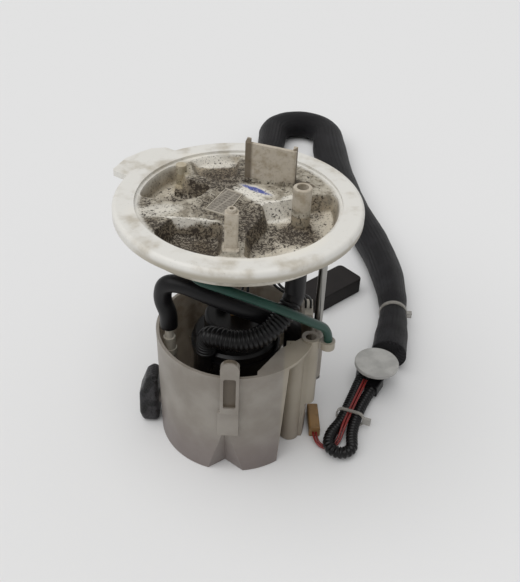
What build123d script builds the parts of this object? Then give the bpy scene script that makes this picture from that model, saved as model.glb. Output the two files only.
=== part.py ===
from build123d import *
from math import atan2, cos, degrees, hypot, radians, sin, tan
import os

os.makedirs("parts", exist_ok=True)

# Heights are measured up from the tank floor, on which the reservoir stands
# x runs to the right, y away from the viewer, and the lid's axis is x = y = 0

# Lid
lid_radius = 67.0
lid_top = 162.0
rim_thickness = 7.0
rim_rounding = 2.4
neck_radius = 58.0
neck_depth = 8.0
lid_wall = 2.4
bowl_radius = 55.5
bowl_drop = 1.6
pocket_edge = 1.6  # land left between a pocket and the rim
lug_thickness = 3.5
lug_step = 0.4
pocket_slope = 3.0  # that a pocket's wall runs in between the land and its floor
pocket_softness = 1.4
front_pocket_depth = 12.0
left_pocket_depth = 12.4
outlet_pocket_depth = 11.6
rear_pocket_depth = 5.6
wedge_rise = 1.6
wedge_place = (8.6, -9.6)
rib_place = (-33.8, 31.0)
rib_radius = 3.0
rib_rise = 2.4  # of the rib's top over the lid

# Guide rods
rod_radius = 2.5
rod_circle = 48.7
rod_angles = (4.7, 128.0)
rod_bottom = 34.0
rod_grip = 9.0  # length held in the lid's boss
rod_boss_radius = 5.2
rod_boss_length = 24.4
running_gap = 0.05
clip_thickness = 1.2
clip_radius = 4.6
clip_room = 0.6
stop_gap = 0.3

# Coil spring on the rear rod
spring_radius = 5.0
spring_wire = 0.65
spring_turns = 7

# Outlet stub
outlet_place = (33.0, -7.5)
outlet_radius = 5.0
outlet_bore = 3.2
outlet_height = 25.0
barb_radius = 4.0
barb_length = 12.0
outlet_foot = (2.0, 2.5)  # growth and height of the cone at its foot

# Vent post
post_place = (-1.7, -46.5)
post_width = 6.7
post_depth = 5.2
post_height = 22.0
vent_radius = 2.2
vent_bore = 1.2
vent_tip = 2.0
post_base = 3.0

# Drain nipple under the front left pocket
drain_place = (-27.0, -26.0)
drain_nipple = 5.0

# Connector shroud on the lid
shroud_place = (15.7, 20.6)
shroud_turn = -10.0
shroud_width = 28.0
shroud_height = 24.0
shroud_fall = 2.4  # that its right end is lower than its left
shroud_wall = 2.2
shroud_return = 4.5
socket_length = 22.0
socket_width = 5.0
socket_depth = 10.6
plug_length = 11.0
blade_width = 2.8
blade_thickness = 0.8
blade_pitch = 5.0
blade_count = 4

# Reservoir pot
pot_height = 76.0
pot_foot_radius = 45.4
pot_rim_radius = 47.0
pot_wall = 1.8
pot_floor = 2.5
corner_back = -14.0
corner_foot = 28.0
corner_rim = 32.0
column_place = (35.5, -12.0)
column_radius = 6.0
deck_thickness = 2.2
sleeve_radius = 4.3
sleeve_bottom = 37.0
tower_place = (44.3, -8.8)
tower_radius = 5.4
tower_bore = 3.2
tower_bottom = 28.0
tongue_x = -1.0
tongue_width = 10.6
tongue_rise = 12.5
tongue_reach = 2.0  # of the tongue before the rim
window_width = 7.0
window_height = 22.0
window_rise = 1.0  # of its upper end over the rim
pad_width = 12.0
pad_height = 18.0
pad_drop = 25.0  # of its upper end under the rim
pad_shift = -0.6
pad_reach = 2.0
groove_x = -3.4
groove_half = 12.5
groove_depth = 9.5
groove_top = 40.0
groove_fade = 1.5  # that it lies outside the wall at its top
port_place = (-16.0, 54.0)
port_radius = 11.0
port_lip = 4.0
port_neck_radius = 7.5
port_bore = 5.5
strainer_port_y = 0.0
strainer_port_z = 16.0
strainer_port_radius = 4.0
strainer_reach = 1.7  # of the port beyond the foot's radius
valve_place = (-29.0, 19.0)
valve_hole = 3.0
valve_cap_radius = 7.0
valve_cap_height = 1.6

# Pump and its filter
pump_place = (0.0, 3.0)
case_radius = 19.0
case_bottom = 16.0
case_top = 74.0
case_wall = 1.5
pump_plug_height = 10.0
inlet_cap_depth = 7.0
inlet_nipple = 2.0
outlet_cap_height = 9.0
outlet_cap_rounding = 2.4
outlet_cap_seat = 4.0
outlet_nipple_shift = (-9.0, 7.0)
outlet_nipple_radius = 3.6
outlet_nipple_bore = 2.2
outlet_nipple_height = 7.0
shaft_radius = 1.6
shaft_seat = 2.0
impeller_radius = 15.0
impeller_thickness = 4.0
impeller_gap = 0.4
vane_count = 18
armature_radius = 11.5
armature_length = 30.0
magnet_thickness = 3.4
magnet_angle = 130.0
filter_radius = 25.5
filter_drop = 6.0  # of its top under the rim
filter_lip = 1.2
filter_lip_height = 3.0
filter_lip_drop = 6.0
isolator_thickness = 1.4
isolator_height = 5.0
inner_strainer_height = 5.0
supply_port = (-16.5, -17.8)
supply_bore = 3.2
port_boss_radius = 4.8
port_boss_depth = 12.0

# Pressure regulator and jet pump
regulator_place = (33.9, 0.5)
regulator_radius = 8.0
regulator_band = 0.3
regulator_bottom = 36.0
regulator_height = 22.0
jet_inset = 6.5  # of its axis from the outside of the pot's foot
jet_y = -5.7
jet_radius = 3.6
jet_drop = 6.0  # of its body under the rim
jet_band = 0.8
jet_band_height = 4.0
jet_band_drop = 8.0
jet_foot_size = (12.0, 14.0, 10.0)
jet_foot_shift = (5.0, 3.0)
jet_mouth = 3.0
jet_bore = 1.4
jet_bore_depth = 4.0
return_bore = 2.6
nipple_length = 5.0

# Level sender
sender_face = 41.0
sender_thickness = 5.5
sender_y = 24.0
sender_width = 20.0
sender_bottom = 34.0
sender_drop = 3.0  # of its top under the rim
sender_margin = 1.0
sender_flat_drop = 8.0
pivot_z = 58.0
pivot_radius = 2.0
hub_radius = 5.0
hub_thickness = 2.6
card_thickness = 0.8
card_gap = 0.3
card_height = 15.0
card_rise = 9.5
arm_wire = 1.0
float_place = (66.0, 135.2)
float_angle = 43.0
float_length = 49.0
float_width = 24.0
float_thickness = 12.0
float_clearance = 0.5
float_corner = 4.0

# Hoses inside the module
return_hose_radius = 5.2
supply_hose_radius = 6.2
cuff_radius = 5.9
drain_tube_radius = 2.6
drain_bore = 1.4
drain_clip = (54.2, -9.2)
drain_clip_drop = 6.0  # of its foot under the rim
drain_clip_height = 5.0
wire_radius = 0.8
wire_spread = 1.6

# Suction sock beside the pot
sock_width = 12.2
sock_depth = 16.0
sock_height = 40.0
sock_corner = 4.0
sock_seam = 3.0
sock_floor = 0.6

# Transfer line to the far side of the tank
sleeve_hose_radius = 12.0
line_radius = 3.6
red_wire_radius = 0.75
cord_share = 0.45  # of the shorter run beside a corner
pickup_place = (93.0, 36.0)
pickup_radius = 14.6
pickup_thickness = 2.6
pickup_top = 21.0
stem_place = (86.4, 40.6)
stem_radius = 5.4
coupler_size = 8.8
coupler_length = 10.0
tie_width = 3.6
tie_thickness = 1.1
tie_head = 4.6
tie_gap = 1.5
tie_place = (74.4, -1.8)
tie_turn = -19.3
tie_span = 16.2
level_plug_size = (7.0, 22.0, 7.0)
level_plug_place = (51.0, -3.0)
level_plug_turn = 3.0

rim_bottom = lid_top - rim_thickness
neck_bottom = rim_bottom - neck_depth
land_top = lid_top - bowl_drop
rod_boss_bottom = land_top - rod_boss_length
rod_places = [
    (rod_circle * cos(radians(angle)), rod_circle * sin(radians(angle)))
    for angle in rod_angles
]
filter_bore = case_radius + isolator_thickness
filter_top = pot_height - filter_drop
tongue_front = pot_rim_radius + tongue_reach
window_top = pot_height + window_rise
window_bottom = window_top - window_height
pad_top = pot_height - pad_drop
pad_bottom = pad_top - pad_height
pad_front = (pot_foot_radius + pot_rim_radius) / 2 + pad_reach
drain_clip_bottom = pot_height - drain_clip_drop
jet_place = (jet_inset - pot_foot_radius, jet_y)
jet_top = pot_height - jet_drop
sender_top = pot_height - sender_drop
clip_bottom = sleeve_bottom - stop_gap - clip_thickness
impeller_bottom = case_bottom + 3 + impeller_gap
inlet_centre = (pump_place[0] + 9, pump_place[1])
pump_plug_bottom = case_top + outlet_cap_height
lid_plug_top = land_top - socket_depth - lid_wall
return_hose_start = pot_height + 2.0
sender_front = sender_face + sender_thickness
card_middle = sender_bottom + card_rise
hub_face = sender_front + 2 * card_gap


def prism(outline, bottom, top):
    return Pos(0, 0, bottom) * extrude(outline, top - bottom)


def rod_at(place, radius, bottom, top):
    return Pos(place[0], place[1], 0) * prism(Circle(radius), bottom, top)


def pipe_at(place, radius, bore, bottom, top):
    return Pos(place[0], place[1], 0) * prism(Circle(radius) - Circle(bore), bottom, top)


def polygon(points, corner=0.0):
    face = make_face(Polyline(*points, close=True))
    if corner > 0:
        face = fillet(face.vertices(), corner)
    return face


def corner_radii(points):
    # the largest arc that both runs beside a corner leave room for
    radii = []
    for before, corner, after in zip(points, points[1:], points[2:]):
        inward = Vector(*corner) - Vector(*before)
        outward = Vector(*after) - Vector(*corner)
        turn = radians(inward.get_angle(outward))
        shorter = min(inward.length, outward.length)
        radii.append(cord_share * shorter / tan(turn / 2))
    return radii


def tube(points, radius, bore=0.0, name=""):
    radii = corner_radii(points)
    path = FilletPolyline(*points, radius=radii)
    section = Circle(radius)
    if bore > 0:
        section = section - Circle(bore)
    start = Plane(origin=path @ 0, z_dir=path % 0)
    solid = sweep(start * section, path=path)
    ideal = section.area * path.length
    print(f"{name}: length {path.length:.1f}, volume share {solid.volume / ideal:.4f},",
          f"tightest {min(radii):.1f}, radii", [round(r) for r in radii])
    return solid


def save(name, shape):
    solids = shape.solids()
    body = solids[0] if len(solids) == 1 else Compound(children=list(solids))
    body.label = name
    export_step(body, f"parts/{name}.step")


# Pockets sunk into the lid's face, as outlines in plan and the level of each floor
pocket_clip = Circle(bowl_radius - pocket_edge)


def pocket_outline(points):
    outline = polygon(points) & pocket_clip
    return fillet(outline.vertices(), pocket_slope + pocket_softness)


left_pocket = (pocket_outline([
    (-70, 3.4), (-44, -1), (-33, -3.8), (-20.6, 4), (-14.5, 15.4), (-30, 22.9), (-42, 62),
    (-80, 62)]), lid_top - left_pocket_depth)
front_pocket = (pocket_outline([
    (-57, -57), (-33, -18), (-18.6, -20), (-6.6, -21.4), (-5.6, -70), (-57, -70)
]), lid_top - front_pocket_depth)
outlet_pocket = (pocket_outline([
    (3.4, -70), (4.8, -30), (12.6, -12.6), (12.2, -0.6), (20.4, 2), (39, 10.6), (70, 15.4),
    (80, -70)]), lid_top - outlet_pocket_depth)
rear_pocket = (pocket_outline([
    (-27, 27.4), (-12, 20.9), (-1.5, 28.4), (1, 70), (-38, 70)]), lid_top - rear_pocket_depth)
pockets = [left_pocket, front_pocket, outlet_pocket, rear_pocket]
outlet_floor = outlet_pocket[1]
lug_points = [(-62, 20), (-71.9, 26.4), (-66.5, 40.6), (-59, 49.2), (-53.4, 54), (-45.3, 56),
              (-36, 50)]


# Lid
def pocket_form(outline, floor, growth):
    # a pocket narrows to its floor, and grown by the wall it gives the pocket's own shell
    top = land_top + 1
    run = pocket_slope * (top - floor) / (land_top - floor)
    low = offset(outline, growth - run) if growth != run else outline
    high = offset(outline, growth) if growth > 0 else outline
    return loft([Pos(0, 0, floor - growth) * low, Pos(0, 0, top) * high], ruled=True)


def lid_pockets():
    hollow = prism(Circle(bowl_radius), land_top, lid_top + 1)
    for outline, floor in pockets:
        pocket = pocket_form(outline, floor, 0)
        hollow += fillet(pocket.edges().group_by(Axis.Z)[0], pocket_softness)
    return hollow


def pocket_shells():
    # the underside is open, so land, pocket floors and sides are one wall thick
    shells = Part()
    for outline, floor in pockets:
        shells += pocket_form(outline, floor, lid_wall)
    return shells & prism(Circle(neck_radius), neck_bottom, land_top)


def shroud_local(shape):
    return Pos(shroud_place[0], shroud_place[1], 0) * Rot(0, 0, shroud_turn) * shape


def socket_centre():
    return shroud_wall / 2 + socket_width / 2 + lid_wall / 2


def shroud():
    # a flat wall whose two ends turn back to the rear, and whose top falls to the right
    depth = shroud_return + shroud_wall
    outer = Pos(0, depth / 2 - shroud_wall / 2) * Rectangle(shroud_width, depth)
    outer = fillet(outer.vertices().group_by(Axis.Y)[0], shroud_wall / 2)
    inner = Pos(0, depth / 2 + shroud_wall / 2) * Rectangle(
        shroud_width - 2 * shroud_wall, depth)
    wall = prism(outer - inner, land_top - lid_wall / 2, land_top + shroud_height)
    half = shroud_width / 2 + 1
    front = polygon([(-half, 0), (half, 0), (half, land_top + shroud_height - shroud_fall),
                     (-half, land_top + shroud_height)])
    return shroud_local(wall & extrude(Plane.XZ * front, depth * 2, both=True))


def socket_block():
    block = Pos(0, socket_centre()) * Rectangle(
        socket_length + 2 * lid_wall, socket_width + 2 * lid_wall)
    return shroud_local(prism(block, land_top - socket_depth - lid_wall, land_top))


def socket_slot():
    slot = Pos(0, socket_centre()) * RectangleRounded(socket_length, socket_width, 1.2)
    return shroud_local(prism(slot, land_top - socket_depth, lid_top + 1))


def blade_shape(bottom, top):
    blades = Part()
    for index in range(blade_count):
        x = (index - (blade_count - 1) / 2) * blade_pitch
        blade = Pos(x, socket_centre()) * Rectangle(blade_width, blade_thickness)
        blades += prism(blade, bottom, top)
    return shroud_local(blades)


def outlet_stub():
    growth, height = outlet_foot
    top = outlet_floor + outlet_height
    stub = rod_at(outlet_place, outlet_radius, outlet_floor - lid_wall, top)
    foot = Cone(outlet_radius + growth, outlet_radius, height,
                align=(Align.CENTER, Align.CENTER, Align.MIN))
    stub += Pos(outlet_place[0], outlet_place[1], outlet_floor - 0.1) * foot
    stub = fillet(stub.edges().group_by(Axis.Z)[-1], 0.6)
    barb = rod_at(outlet_place, barb_radius, outlet_floor - lid_wall - barb_length, outlet_floor)
    return stub + barb


def vent_post():
    x, y = post_place
    column = Pos(x, y) * RectangleRounded(post_width, post_depth, 1.2)
    base = Pos(x, y - 1.4) * RectangleRounded(post_width + 1.6, post_depth + 2.8, 1.0)
    top = land_top + post_height
    post = prism(column, land_top - 0.5, top) + prism(base, land_top - 0.5, land_top + post_base)
    return post + rod_at(post_place, vent_radius, neck_bottom, top + vent_tip)


def pocket_rib():
    # the half-round rib in the rear corner of the left pocket, and the block at its foot
    x, y = rib_place
    floor = left_pocket[1]
    rib = rod_at(rib_place, rib_radius, floor - lid_wall / 2, lid_top + rib_rise)
    block = Pos(x + 1.5, y - 2 * rib_radius) * RectangleRounded(3 * rib_radius, 3 * rib_radius, 1)
    return rib + prism(block, floor - lid_wall / 2, floor + 2 * wedge_rise)


def land_wedge():
    x, y = wedge_place
    side = make_face(Polyline((-6, 0), (6, 0), (6, wedge_rise), close=True))
    wedge = Rot(0, 0, 90) * extrude(Plane.XZ * side, rib_radius, both=True)
    return Pos(x, y, land_top - 0.01) * wedge


def lid_drain_nipple():
    underside = front_pocket[1] - lid_wall
    return rod_at(drain_place, drain_bore - running_gap, underside - drain_nipple, underside + 1)


def lid():
    rim = prism(Circle(lid_radius), rim_bottom, lid_top)
    rim = fillet(rim.edges().group_by(Axis.Z)[-1], rim_rounding)
    rim = fillet(rim.edges().group_by(Axis.Z)[0], 0.8)
    lug = prism(polygon(lug_points, 2.0), lid_top - lug_thickness - lug_step, lid_top - lug_step)
    body = rim + lug + prism(Circle(neck_radius), neck_bottom, rim_bottom + 1)
    body -= prism(Circle(neck_radius - lid_wall), neck_bottom - 1, land_top - lid_wall)
    body += pocket_shells() + socket_block()
    for place in rod_places:
        body += rod_at(place, rod_boss_radius, rod_boss_bottom, land_top - lid_wall / 2)
    body -= lid_pockets()
    body += shroud() + outlet_stub() + vent_post() + lid_drain_nipple() + pocket_rib()
    body += land_wedge()
    for place in rod_places:
        body -= rod_at(place, rod_radius, rod_boss_bottom - 1, rod_boss_bottom + rod_grip)
    body -= socket_slot()
    body -= blade_shape(neck_bottom - 5, land_top)
    body -= rod_at(outlet_place, outlet_bore, 0, lid_top + 30)
    body -= rod_at(post_place, vent_bore, 0, lid_top + 30)
    return body


save("lid", lid())
save("lid_terminals", blade_shape(neck_bottom - 4, land_top - 2))


# Guide rods, their clips and the spring
def guide_rod(place):
    rod = rod_at(place, rod_radius, rod_bottom, rod_boss_bottom + rod_grip)
    groove = pipe_at(place, rod_radius + 1, rod_radius - 0.5,
                     clip_bottom, clip_bottom + clip_thickness)
    return chamfer(rod.edges().group_by(Axis.Z)[0], 0.5) - groove


def rod_clip(place):
    ring = pipe_at(place, clip_radius, rod_radius - 0.5,
                   clip_bottom, clip_bottom + clip_thickness)
    gap = Pos(place[0] * 1.1, place[1] * 1.1) * Rot(0, 0, degrees(atan2(place[1], place[0])))
    return ring - gap * prism(Rectangle(8, rod_radius * 1.4), 0, lid_top)


save("guide_rod_right", guide_rod(rod_places[0]))
save("guide_rod_rear", guide_rod(rod_places[1]))
save("guide_rod_clips", rod_clip(rod_places[0]) + rod_clip(rod_places[1]))


def rod_spring():
    bottom = pot_height + stop_gap + spring_wire
    top = rod_boss_bottom - stop_gap - spring_wire
    pitch = (top - bottom) / spring_turns
    coil = Helix(pitch, top - bottom, spring_radius)
    section = Plane(origin=coil @ 0, z_dir=coil % 0) * Circle(spring_wire)
    return Pos(rod_places[1][0], rod_places[1][1], bottom) * sweep(section, path=coil)


save("rod_spring", rod_spring())


# Reservoir pot
def pot_cone(inset, bottom=0.0):
    lean = (pot_rim_radius - pot_foot_radius) / pot_height
    low = pot_foot_radius + lean * bottom - inset
    body = Cone(low, pot_rim_radius - inset, pot_height - bottom,
                align=(Align.CENTER, Align.CENTER, Align.MIN))
    return Pos(0, 0, bottom) * body


def pot_corner(inset):
    # the front right corner of the round pot is cut away for the tank's own rib
    outer = 2 * pot_rim_radius
    side = Polyline((corner_foot - inset, 0), (corner_rim - inset, pot_height + 1),
                    (outer, pot_height + 1), (outer, 0), close=True)
    block = extrude(Plane.XZ * make_face(side), 2 * pot_rim_radius)
    return Pos(0, corner_back + inset, 0) * block


def pot_groove(inset):
    # a V that fades out upwards; its sides keep one slope, so its wall is even
    slope = groove_half / groove_depth
    shift = inset * hypot(1, slope) / slope

    def wedge(depth, z):
        front = -2 * pot_rim_radius
        apex = -pot_foot_radius + depth + shift
        reach = slope * (apex - front)
        points = [(groove_x - reach, front), (groove_x, apex), (groove_x + reach, front)]
        return Pos(0, 0, z) * polygon(points)
    return loft([wedge(groove_depth, -1), wedge(-groove_fade, groove_top)])


def rod_channels(inset):
    # below the sleeves the wall steps back, so that the rods and their clips can come down
    channels = Part()
    for place in rod_places:
        channels += rod_at(place, clip_radius + clip_room + inset, -1, sleeve_bottom + inset)
    return channels


def sender_block(low, high, growth):
    half = sender_width / 2 + sender_margin + growth
    plan = polygon([(low, sender_y - half), (high, sender_y - half),
                    (high, sender_y + half), (low, sender_y + half)])
    return prism(plan, sender_bottom - sender_flat_drop - growth, pot_height + 1)


def pot_form(inset, bottom):
    form = pot_cone(inset, bottom) - pot_corner(inset) - pot_groove(inset) - rod_channels(inset)
    form -= sender_block(sender_face - inset, 2 * pot_rim_radius, inset)
    return form + rod_at(column_place, column_radius - inset, bottom, pot_height - deck_thickness)


def tongue():
    low = pad_top
    square = pot_height + tongue_rise - tongue_width / 2
    slab = Pos(tongue_x, (low + square) / 2) * Rectangle(tongue_width, square - low)
    slab += Pos(tongue_x, square) * Circle(tongue_width / 2)
    reach = tongue_front - pot_rim_radius
    plate = Pos(0, -tongue_front, 0) * extrude(Plane.XZ * slab, -(reach + pot_wall))
    window = Pos(tongue_x, (window_bottom + window_top) / 2) * RectangleRounded(
        window_width, window_top - window_bottom, 1.2)
    cut = Pos(0, -tongue_front, 0) * extrude(Plane.XZ * window, -reach, both=True)
    pad = Pos(tongue_x + pad_shift, (pad_bottom + pad_top) / 2) * RectangleRounded(
        pad_width, pad_top - pad_bottom, 1.0)
    thickness = pad_front - pot_foot_radius + pot_wall
    pad = Pos(0, -pad_front, 0) * extrude(Plane.XZ * pad, -thickness)
    return plate + pad - cut


def corner_deck():
    plan = polygon([(14, -60), (14, -40), (26.7, -19.4), (39, -9), (60, -9), (60, -60)])
    return prism(plan, pot_height - deck_thickness, pot_height) & pot_cone(0)


def sender_pad():
    return sender_block(pot_foot_radius * 0.7, sender_face, 0) & prism(
        Circle(2 * pot_rim_radius), 0, pot_height)


def transfer_port():
    x, face = port_place
    start = pot_foot_radius - 8
    neck = extrude(Plane.XZ * Circle(port_neck_radius), -(face - start))
    lip = extrude(Plane.XZ * Circle(port_radius), -port_lip)
    return (Pos(x, start, sleeve_hose_radius) * neck
            + Pos(x, face - port_lip, sleeve_hose_radius) * lip)


def strainer_port():
    start = pot_foot_radius - 1
    stub = extrude(Plane.YZ * Circle(strainer_port_radius), -1 - strainer_reach)
    return Pos(-start, strainer_port_y, strainer_port_z) * stub


def drain_tube_clip():
    top = drain_clip_bottom + drain_clip_height
    x, y = drain_clip
    clip = rod_at(drain_clip, drain_tube_radius + pot_wall, drain_clip_bottom, top)
    web = Pos((x + tower_place[0]) / 2, y) * Rectangle(x - tower_place[0], 2 * pot_wall)
    return clip + prism(web, drain_clip_bottom, top)


def pot():
    body = pot_form(0, 0)
    for place in rod_places:
        body += rod_at(place, sleeve_radius, sleeve_bottom, pot_height)
    body += rod_at(tower_place, tower_radius, tower_bottom, pot_height + 1)
    body += transfer_port() + strainer_port() + sender_pad() + drain_tube_clip()
    body -= pot_form(pot_wall, pot_floor)
    body += corner_deck() + tongue()
    body -= rod_at(drain_clip, drain_tube_radius, 0, lid_top)
    for place in rod_places:
        body -= rod_at(place, rod_radius + running_gap, 0, pot_height + 1)
    body -= rod_at(tower_place, tower_bore, pot_height - 8, pot_height + 2)
    body -= rod_at(valve_place, valve_hole, -1, pot_floor + 1)
    port_hole = extrude(Plane.XZ * Circle(port_bore), -40)
    body -= Pos(port_place[0], pot_foot_radius - 12, sleeve_hose_radius) * port_hole
    return body


save("reservoir_pot", pot())


# Rubber umbrella valve in the pot's floor
def foot_valve():
    cap = Cone(valve_cap_radius, valve_cap_radius / 2, valve_cap_height,
               align=(Align.CENTER, Align.CENTER, Align.MIN))
    stem = prism(Circle(valve_hole - running_gap), 0.6, pot_floor)
    return Pos(valve_place[0], valve_place[1], 0) * (stem + Pos(0, 0, pot_floor) * cap)


save("foot_valve", foot_valve())


# Fuel filter ring round the pump
def filter_ring():
    ring = pipe_at(pump_place, filter_radius, filter_bore, pot_floor, filter_top)
    ring = chamfer(ring.edges().group_by(Axis.Z)[-1].sort_by(SortBy.LENGTH)[-1], 1.5)
    lip_top = filter_top - filter_lip_drop
    ring += pipe_at(pump_place, filter_radius + filter_lip, filter_bore,
                    lip_top - filter_lip_height, lip_top)
    boss = rod_at(supply_port, port_boss_radius, filter_top - port_boss_depth, filter_top)
    ring += boss - rod_at(pump_place, filter_radius - 1, 0, lid_top)
    ring += rod_at(supply_port, supply_bore - running_gap, filter_top - 1,
                   filter_top + nipple_length)
    ring -= rod_at(supply_port, supply_bore / 2, filter_top - 8, lid_top)
    arm = Pos((pump_place[0] + filter_radius + regulator_place[0]) / 2,
              (pump_place[1] + regulator_place[1]) / 2)
    bracket = prism(arm * Rectangle(regulator_place[0] - filter_radius, 8),
                    regulator_bottom - 4, regulator_bottom)
    shelf = rod_at(regulator_place, regulator_radius, regulator_bottom - 4, regulator_bottom)
    return ring + (bracket - rod_at(pump_place, filter_radius - 1, 0, filter_top)) + shelf


save("filter_canister", filter_ring())


# Electric pump
def pump_case():
    return pipe_at(pump_place, case_radius, case_radius - case_wall, case_bottom, case_top)


def pump_inlet_cap():
    inner = case_radius - case_wall
    cap = rod_at(pump_place, case_radius, case_bottom - inlet_cap_depth, case_bottom)
    cap = fillet(cap.edges().group_by(Axis.Z)[0], 2.0)
    cap += rod_at(pump_place, inner, case_bottom, case_bottom + 3)
    bottom = case_bottom - inlet_cap_depth
    cap += pipe_at(inlet_centre, 4.0, 2.4, bottom - inlet_nipple, bottom)
    cap -= rod_at(inlet_centre, 2.4, bottom - 3, case_bottom + 4)
    return cap - rod_at(pump_place, shaft_radius + running_gap, bottom + 2, case_bottom + 4)


def pump_outlet_cap():
    inner = case_radius - case_wall
    cap = rod_at(pump_place, case_radius, case_top, case_top + outlet_cap_height)
    cap = fillet(cap.edges().group_by(Axis.Z)[-1], outlet_cap_rounding)
    cap += rod_at(pump_place, inner, case_top - outlet_cap_seat, case_top)
    nipple = (pump_place[0] + outlet_nipple_shift[0], pump_place[1] + outlet_nipple_shift[1])
    top = case_top + outlet_cap_height + outlet_nipple_height
    cap += rod_at(nipple, outlet_nipple_radius, case_top, top)
    cap -= rod_at(pump_place, shaft_radius + running_gap, 0, case_top + shaft_seat)
    return cap - rod_at(nipple, outlet_nipple_bore, case_top - outlet_cap_seat - 1, top + 1)


def impeller():
    disc = prism(Circle(impeller_radius), impeller_bottom, impeller_bottom + impeller_thickness)
    slot = prism(Pos(impeller_radius, 0) * Rectangle(5.0, 1.8), 0, case_top)
    for index in range(vane_count):
        disc -= Rot(0, 0, index * 360 / vane_count) * slot
    disc -= prism(Circle(shaft_radius), 0, case_top)
    return Pos(pump_place[0], pump_place[1], 0) * disc


def armature():
    bottom = impeller_bottom + impeller_thickness + 6
    core = prism(Circle(armature_radius), bottom, bottom + armature_length)
    slot = prism(Pos(armature_radius, 0) * Rectangle(8.0, 1.6), 0, case_top)
    for index in range(8):
        core -= Rot(0, 0, index * 45) * slot
    core += prism(Circle(5.5), bottom + armature_length, bottom + armature_length + 7)
    core += prism(Circle(shaft_radius), case_bottom - 3, case_top)
    return Pos(pump_place[0], pump_place[1], 0) * core


def magnets():
    outer = case_radius - case_wall
    ring = Circle(outer) - Circle(outer - magnet_thickness)
    half = tan(radians(90 - magnet_angle / 2)) * 40
    side = polygon([(0, 0), (40, half), (40, 60), (-40, 60), (-40, half)])
    bottom = impeller_bottom + impeller_thickness + 4
    upper = prism(ring & side, bottom, bottom + armature_length + 2)
    pair = upper + Rot(0, 0, 180) * upper
    return Pos(pump_place[0], pump_place[1], 0) * pair


def isolators():
    low = pipe_at(pump_place, filter_bore, case_radius, case_bottom, case_bottom + isolator_height)
    high = pipe_at(pump_place, filter_bore, case_radius,
                   filter_top - isolator_height, filter_top)
    return low + high


save("pump_case", pump_case())
save("pump_inlet_cap", pump_inlet_cap())
save("pump_outlet_cap", pump_outlet_cap())
save("pump_impeller", impeller())
save("pump_armature", armature())
save("pump_magnets", magnets())
save("pump_isolators", isolators())


# Flat strainer under the pump
def inner_strainer():
    top = case_bottom - inlet_cap_depth - inlet_nipple
    bag = rod_at(pump_place, case_radius - 1, top - inner_strainer_height + 1, top)
    return fillet(bag.edges(), 1.6)


save("pump_strainer", inner_strainer())


# Pressure regulator with its nipple for the return hose
def regulator():
    top = regulator_bottom + regulator_height
    can = rod_at(regulator_place, regulator_radius, regulator_bottom, top)
    can = fillet(can.edges().group_by(Axis.Z)[-1], 1.5)
    band = rod_at(regulator_place, regulator_radius + regulator_band,
                  regulator_bottom + 10, regulator_bottom + 13)
    nipple = rod_at(regulator_place, return_bore - running_gap, top, top + nipple_length)
    return can + band + nipple - rod_at(regulator_place, 1.4, top - 4, top + 20)


save("pressure_regulator", regulator())


# Jet pump that fills the pot
def jet_pump():
    width, depth, height = jet_foot_size
    band_top = jet_top - jet_band_drop
    body = rod_at(jet_place, jet_radius, pot_floor, jet_top)
    body += rod_at(jet_place, jet_radius + jet_band, band_top - jet_band_height, band_top)
    body += rod_at(jet_place, return_bore - running_gap, jet_top, return_hose_start + nipple_length)
    foot_place = (jet_place[0] + jet_foot_shift[0], jet_place[1] + jet_foot_shift[1])
    foot = Pos(foot_place[0], foot_place[1]) * RectangleRounded(width, depth, width / 6)
    mouth = rod_at(foot_place, jet_mouth, pot_floor + jet_bore_depth, pot_floor + height + 1)
    body += prism(foot, pot_floor, pot_floor + height) - mouth
    return body - rod_at(jet_place, jet_bore, jet_top - jet_bore_depth, lid_top)


save("jet_pump", jet_pump())


# Hoses inside the module
return_route = [
    (jet_place[0], jet_place[1], return_hose_start),
    (jet_place[0], jet_place[1], 87),
    (-42.6, -5.4, 98),
    (-40.2, -7.5, 110),
    (-30, -11, 112.5),
    (-14, -14.5, 107.5),
    (3, -14.5, 100),
    (18, -10.7, 91.5),
    (29, -3.6, 85),
    (regulator_place[0], regulator_place[1], 77),
    (regulator_place[0], regulator_place[1], regulator_bottom + regulator_height),
]
supply_route = [
    (supply_port[0], supply_port[1], filter_top),
    (supply_port[0], supply_port[1], 81),
    (-10.5, -24.5, 86.5),
    (3, -28.8, 86.5),
    (17, -26.3, 90.5),
    (27.4, -17.8, 97.5),
    (31, -11.8, 104),
]
outlet_underside = outlet_floor - lid_wall
supply_end = Vector(*supply_route[-1])
cuff_lead = supply_end + (supply_end - Vector(*supply_route[-2])) * 0.5
cuff_route = [
    supply_route[-1],
    (cuff_lead.X, cuff_lead.Y, cuff_lead.Z),
    (outlet_place[0], outlet_place[1], 116),
    (outlet_place[0], outlet_place[1], outlet_underside),
]
drain_route = [
    (drain_place[0], drain_place[1], front_pocket[1] - lid_wall),
    (drain_place[0], drain_place[1], 138),
    (-20.5, -30.5, 130),
    (-3, -33.5, 126),
    (16, -33, 118.5),
    (32, -27, 107),
    (44, -18, 94.5),
    (51.5, -11.5, 86.3),
    (drain_clip[0], drain_clip[1], 78.6),
    (drain_clip[0], drain_clip[1], drain_clip_bottom),
]
save("return_hose", tube(return_route, return_hose_radius, return_bore, "return hose"))
save("supply_hose", tube(supply_route, supply_hose_radius, supply_bore, "supply hose"))
save("outlet_cuff", tube(cuff_route, cuff_radius, barb_radius + running_gap, "outlet cuff"))
save("drain_tube", tube(drain_route, drain_tube_radius, drain_bore, "drain tube"))


# Connectors and wires inside the module
def pump_plug():
    x, y = pump_place[0] + 3, pump_place[1] + 1
    body = Pos(x, y) * RectangleRounded(13, 8, 1.2)
    return prism(body, pump_plug_bottom, pump_plug_bottom + pump_plug_height)


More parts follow.
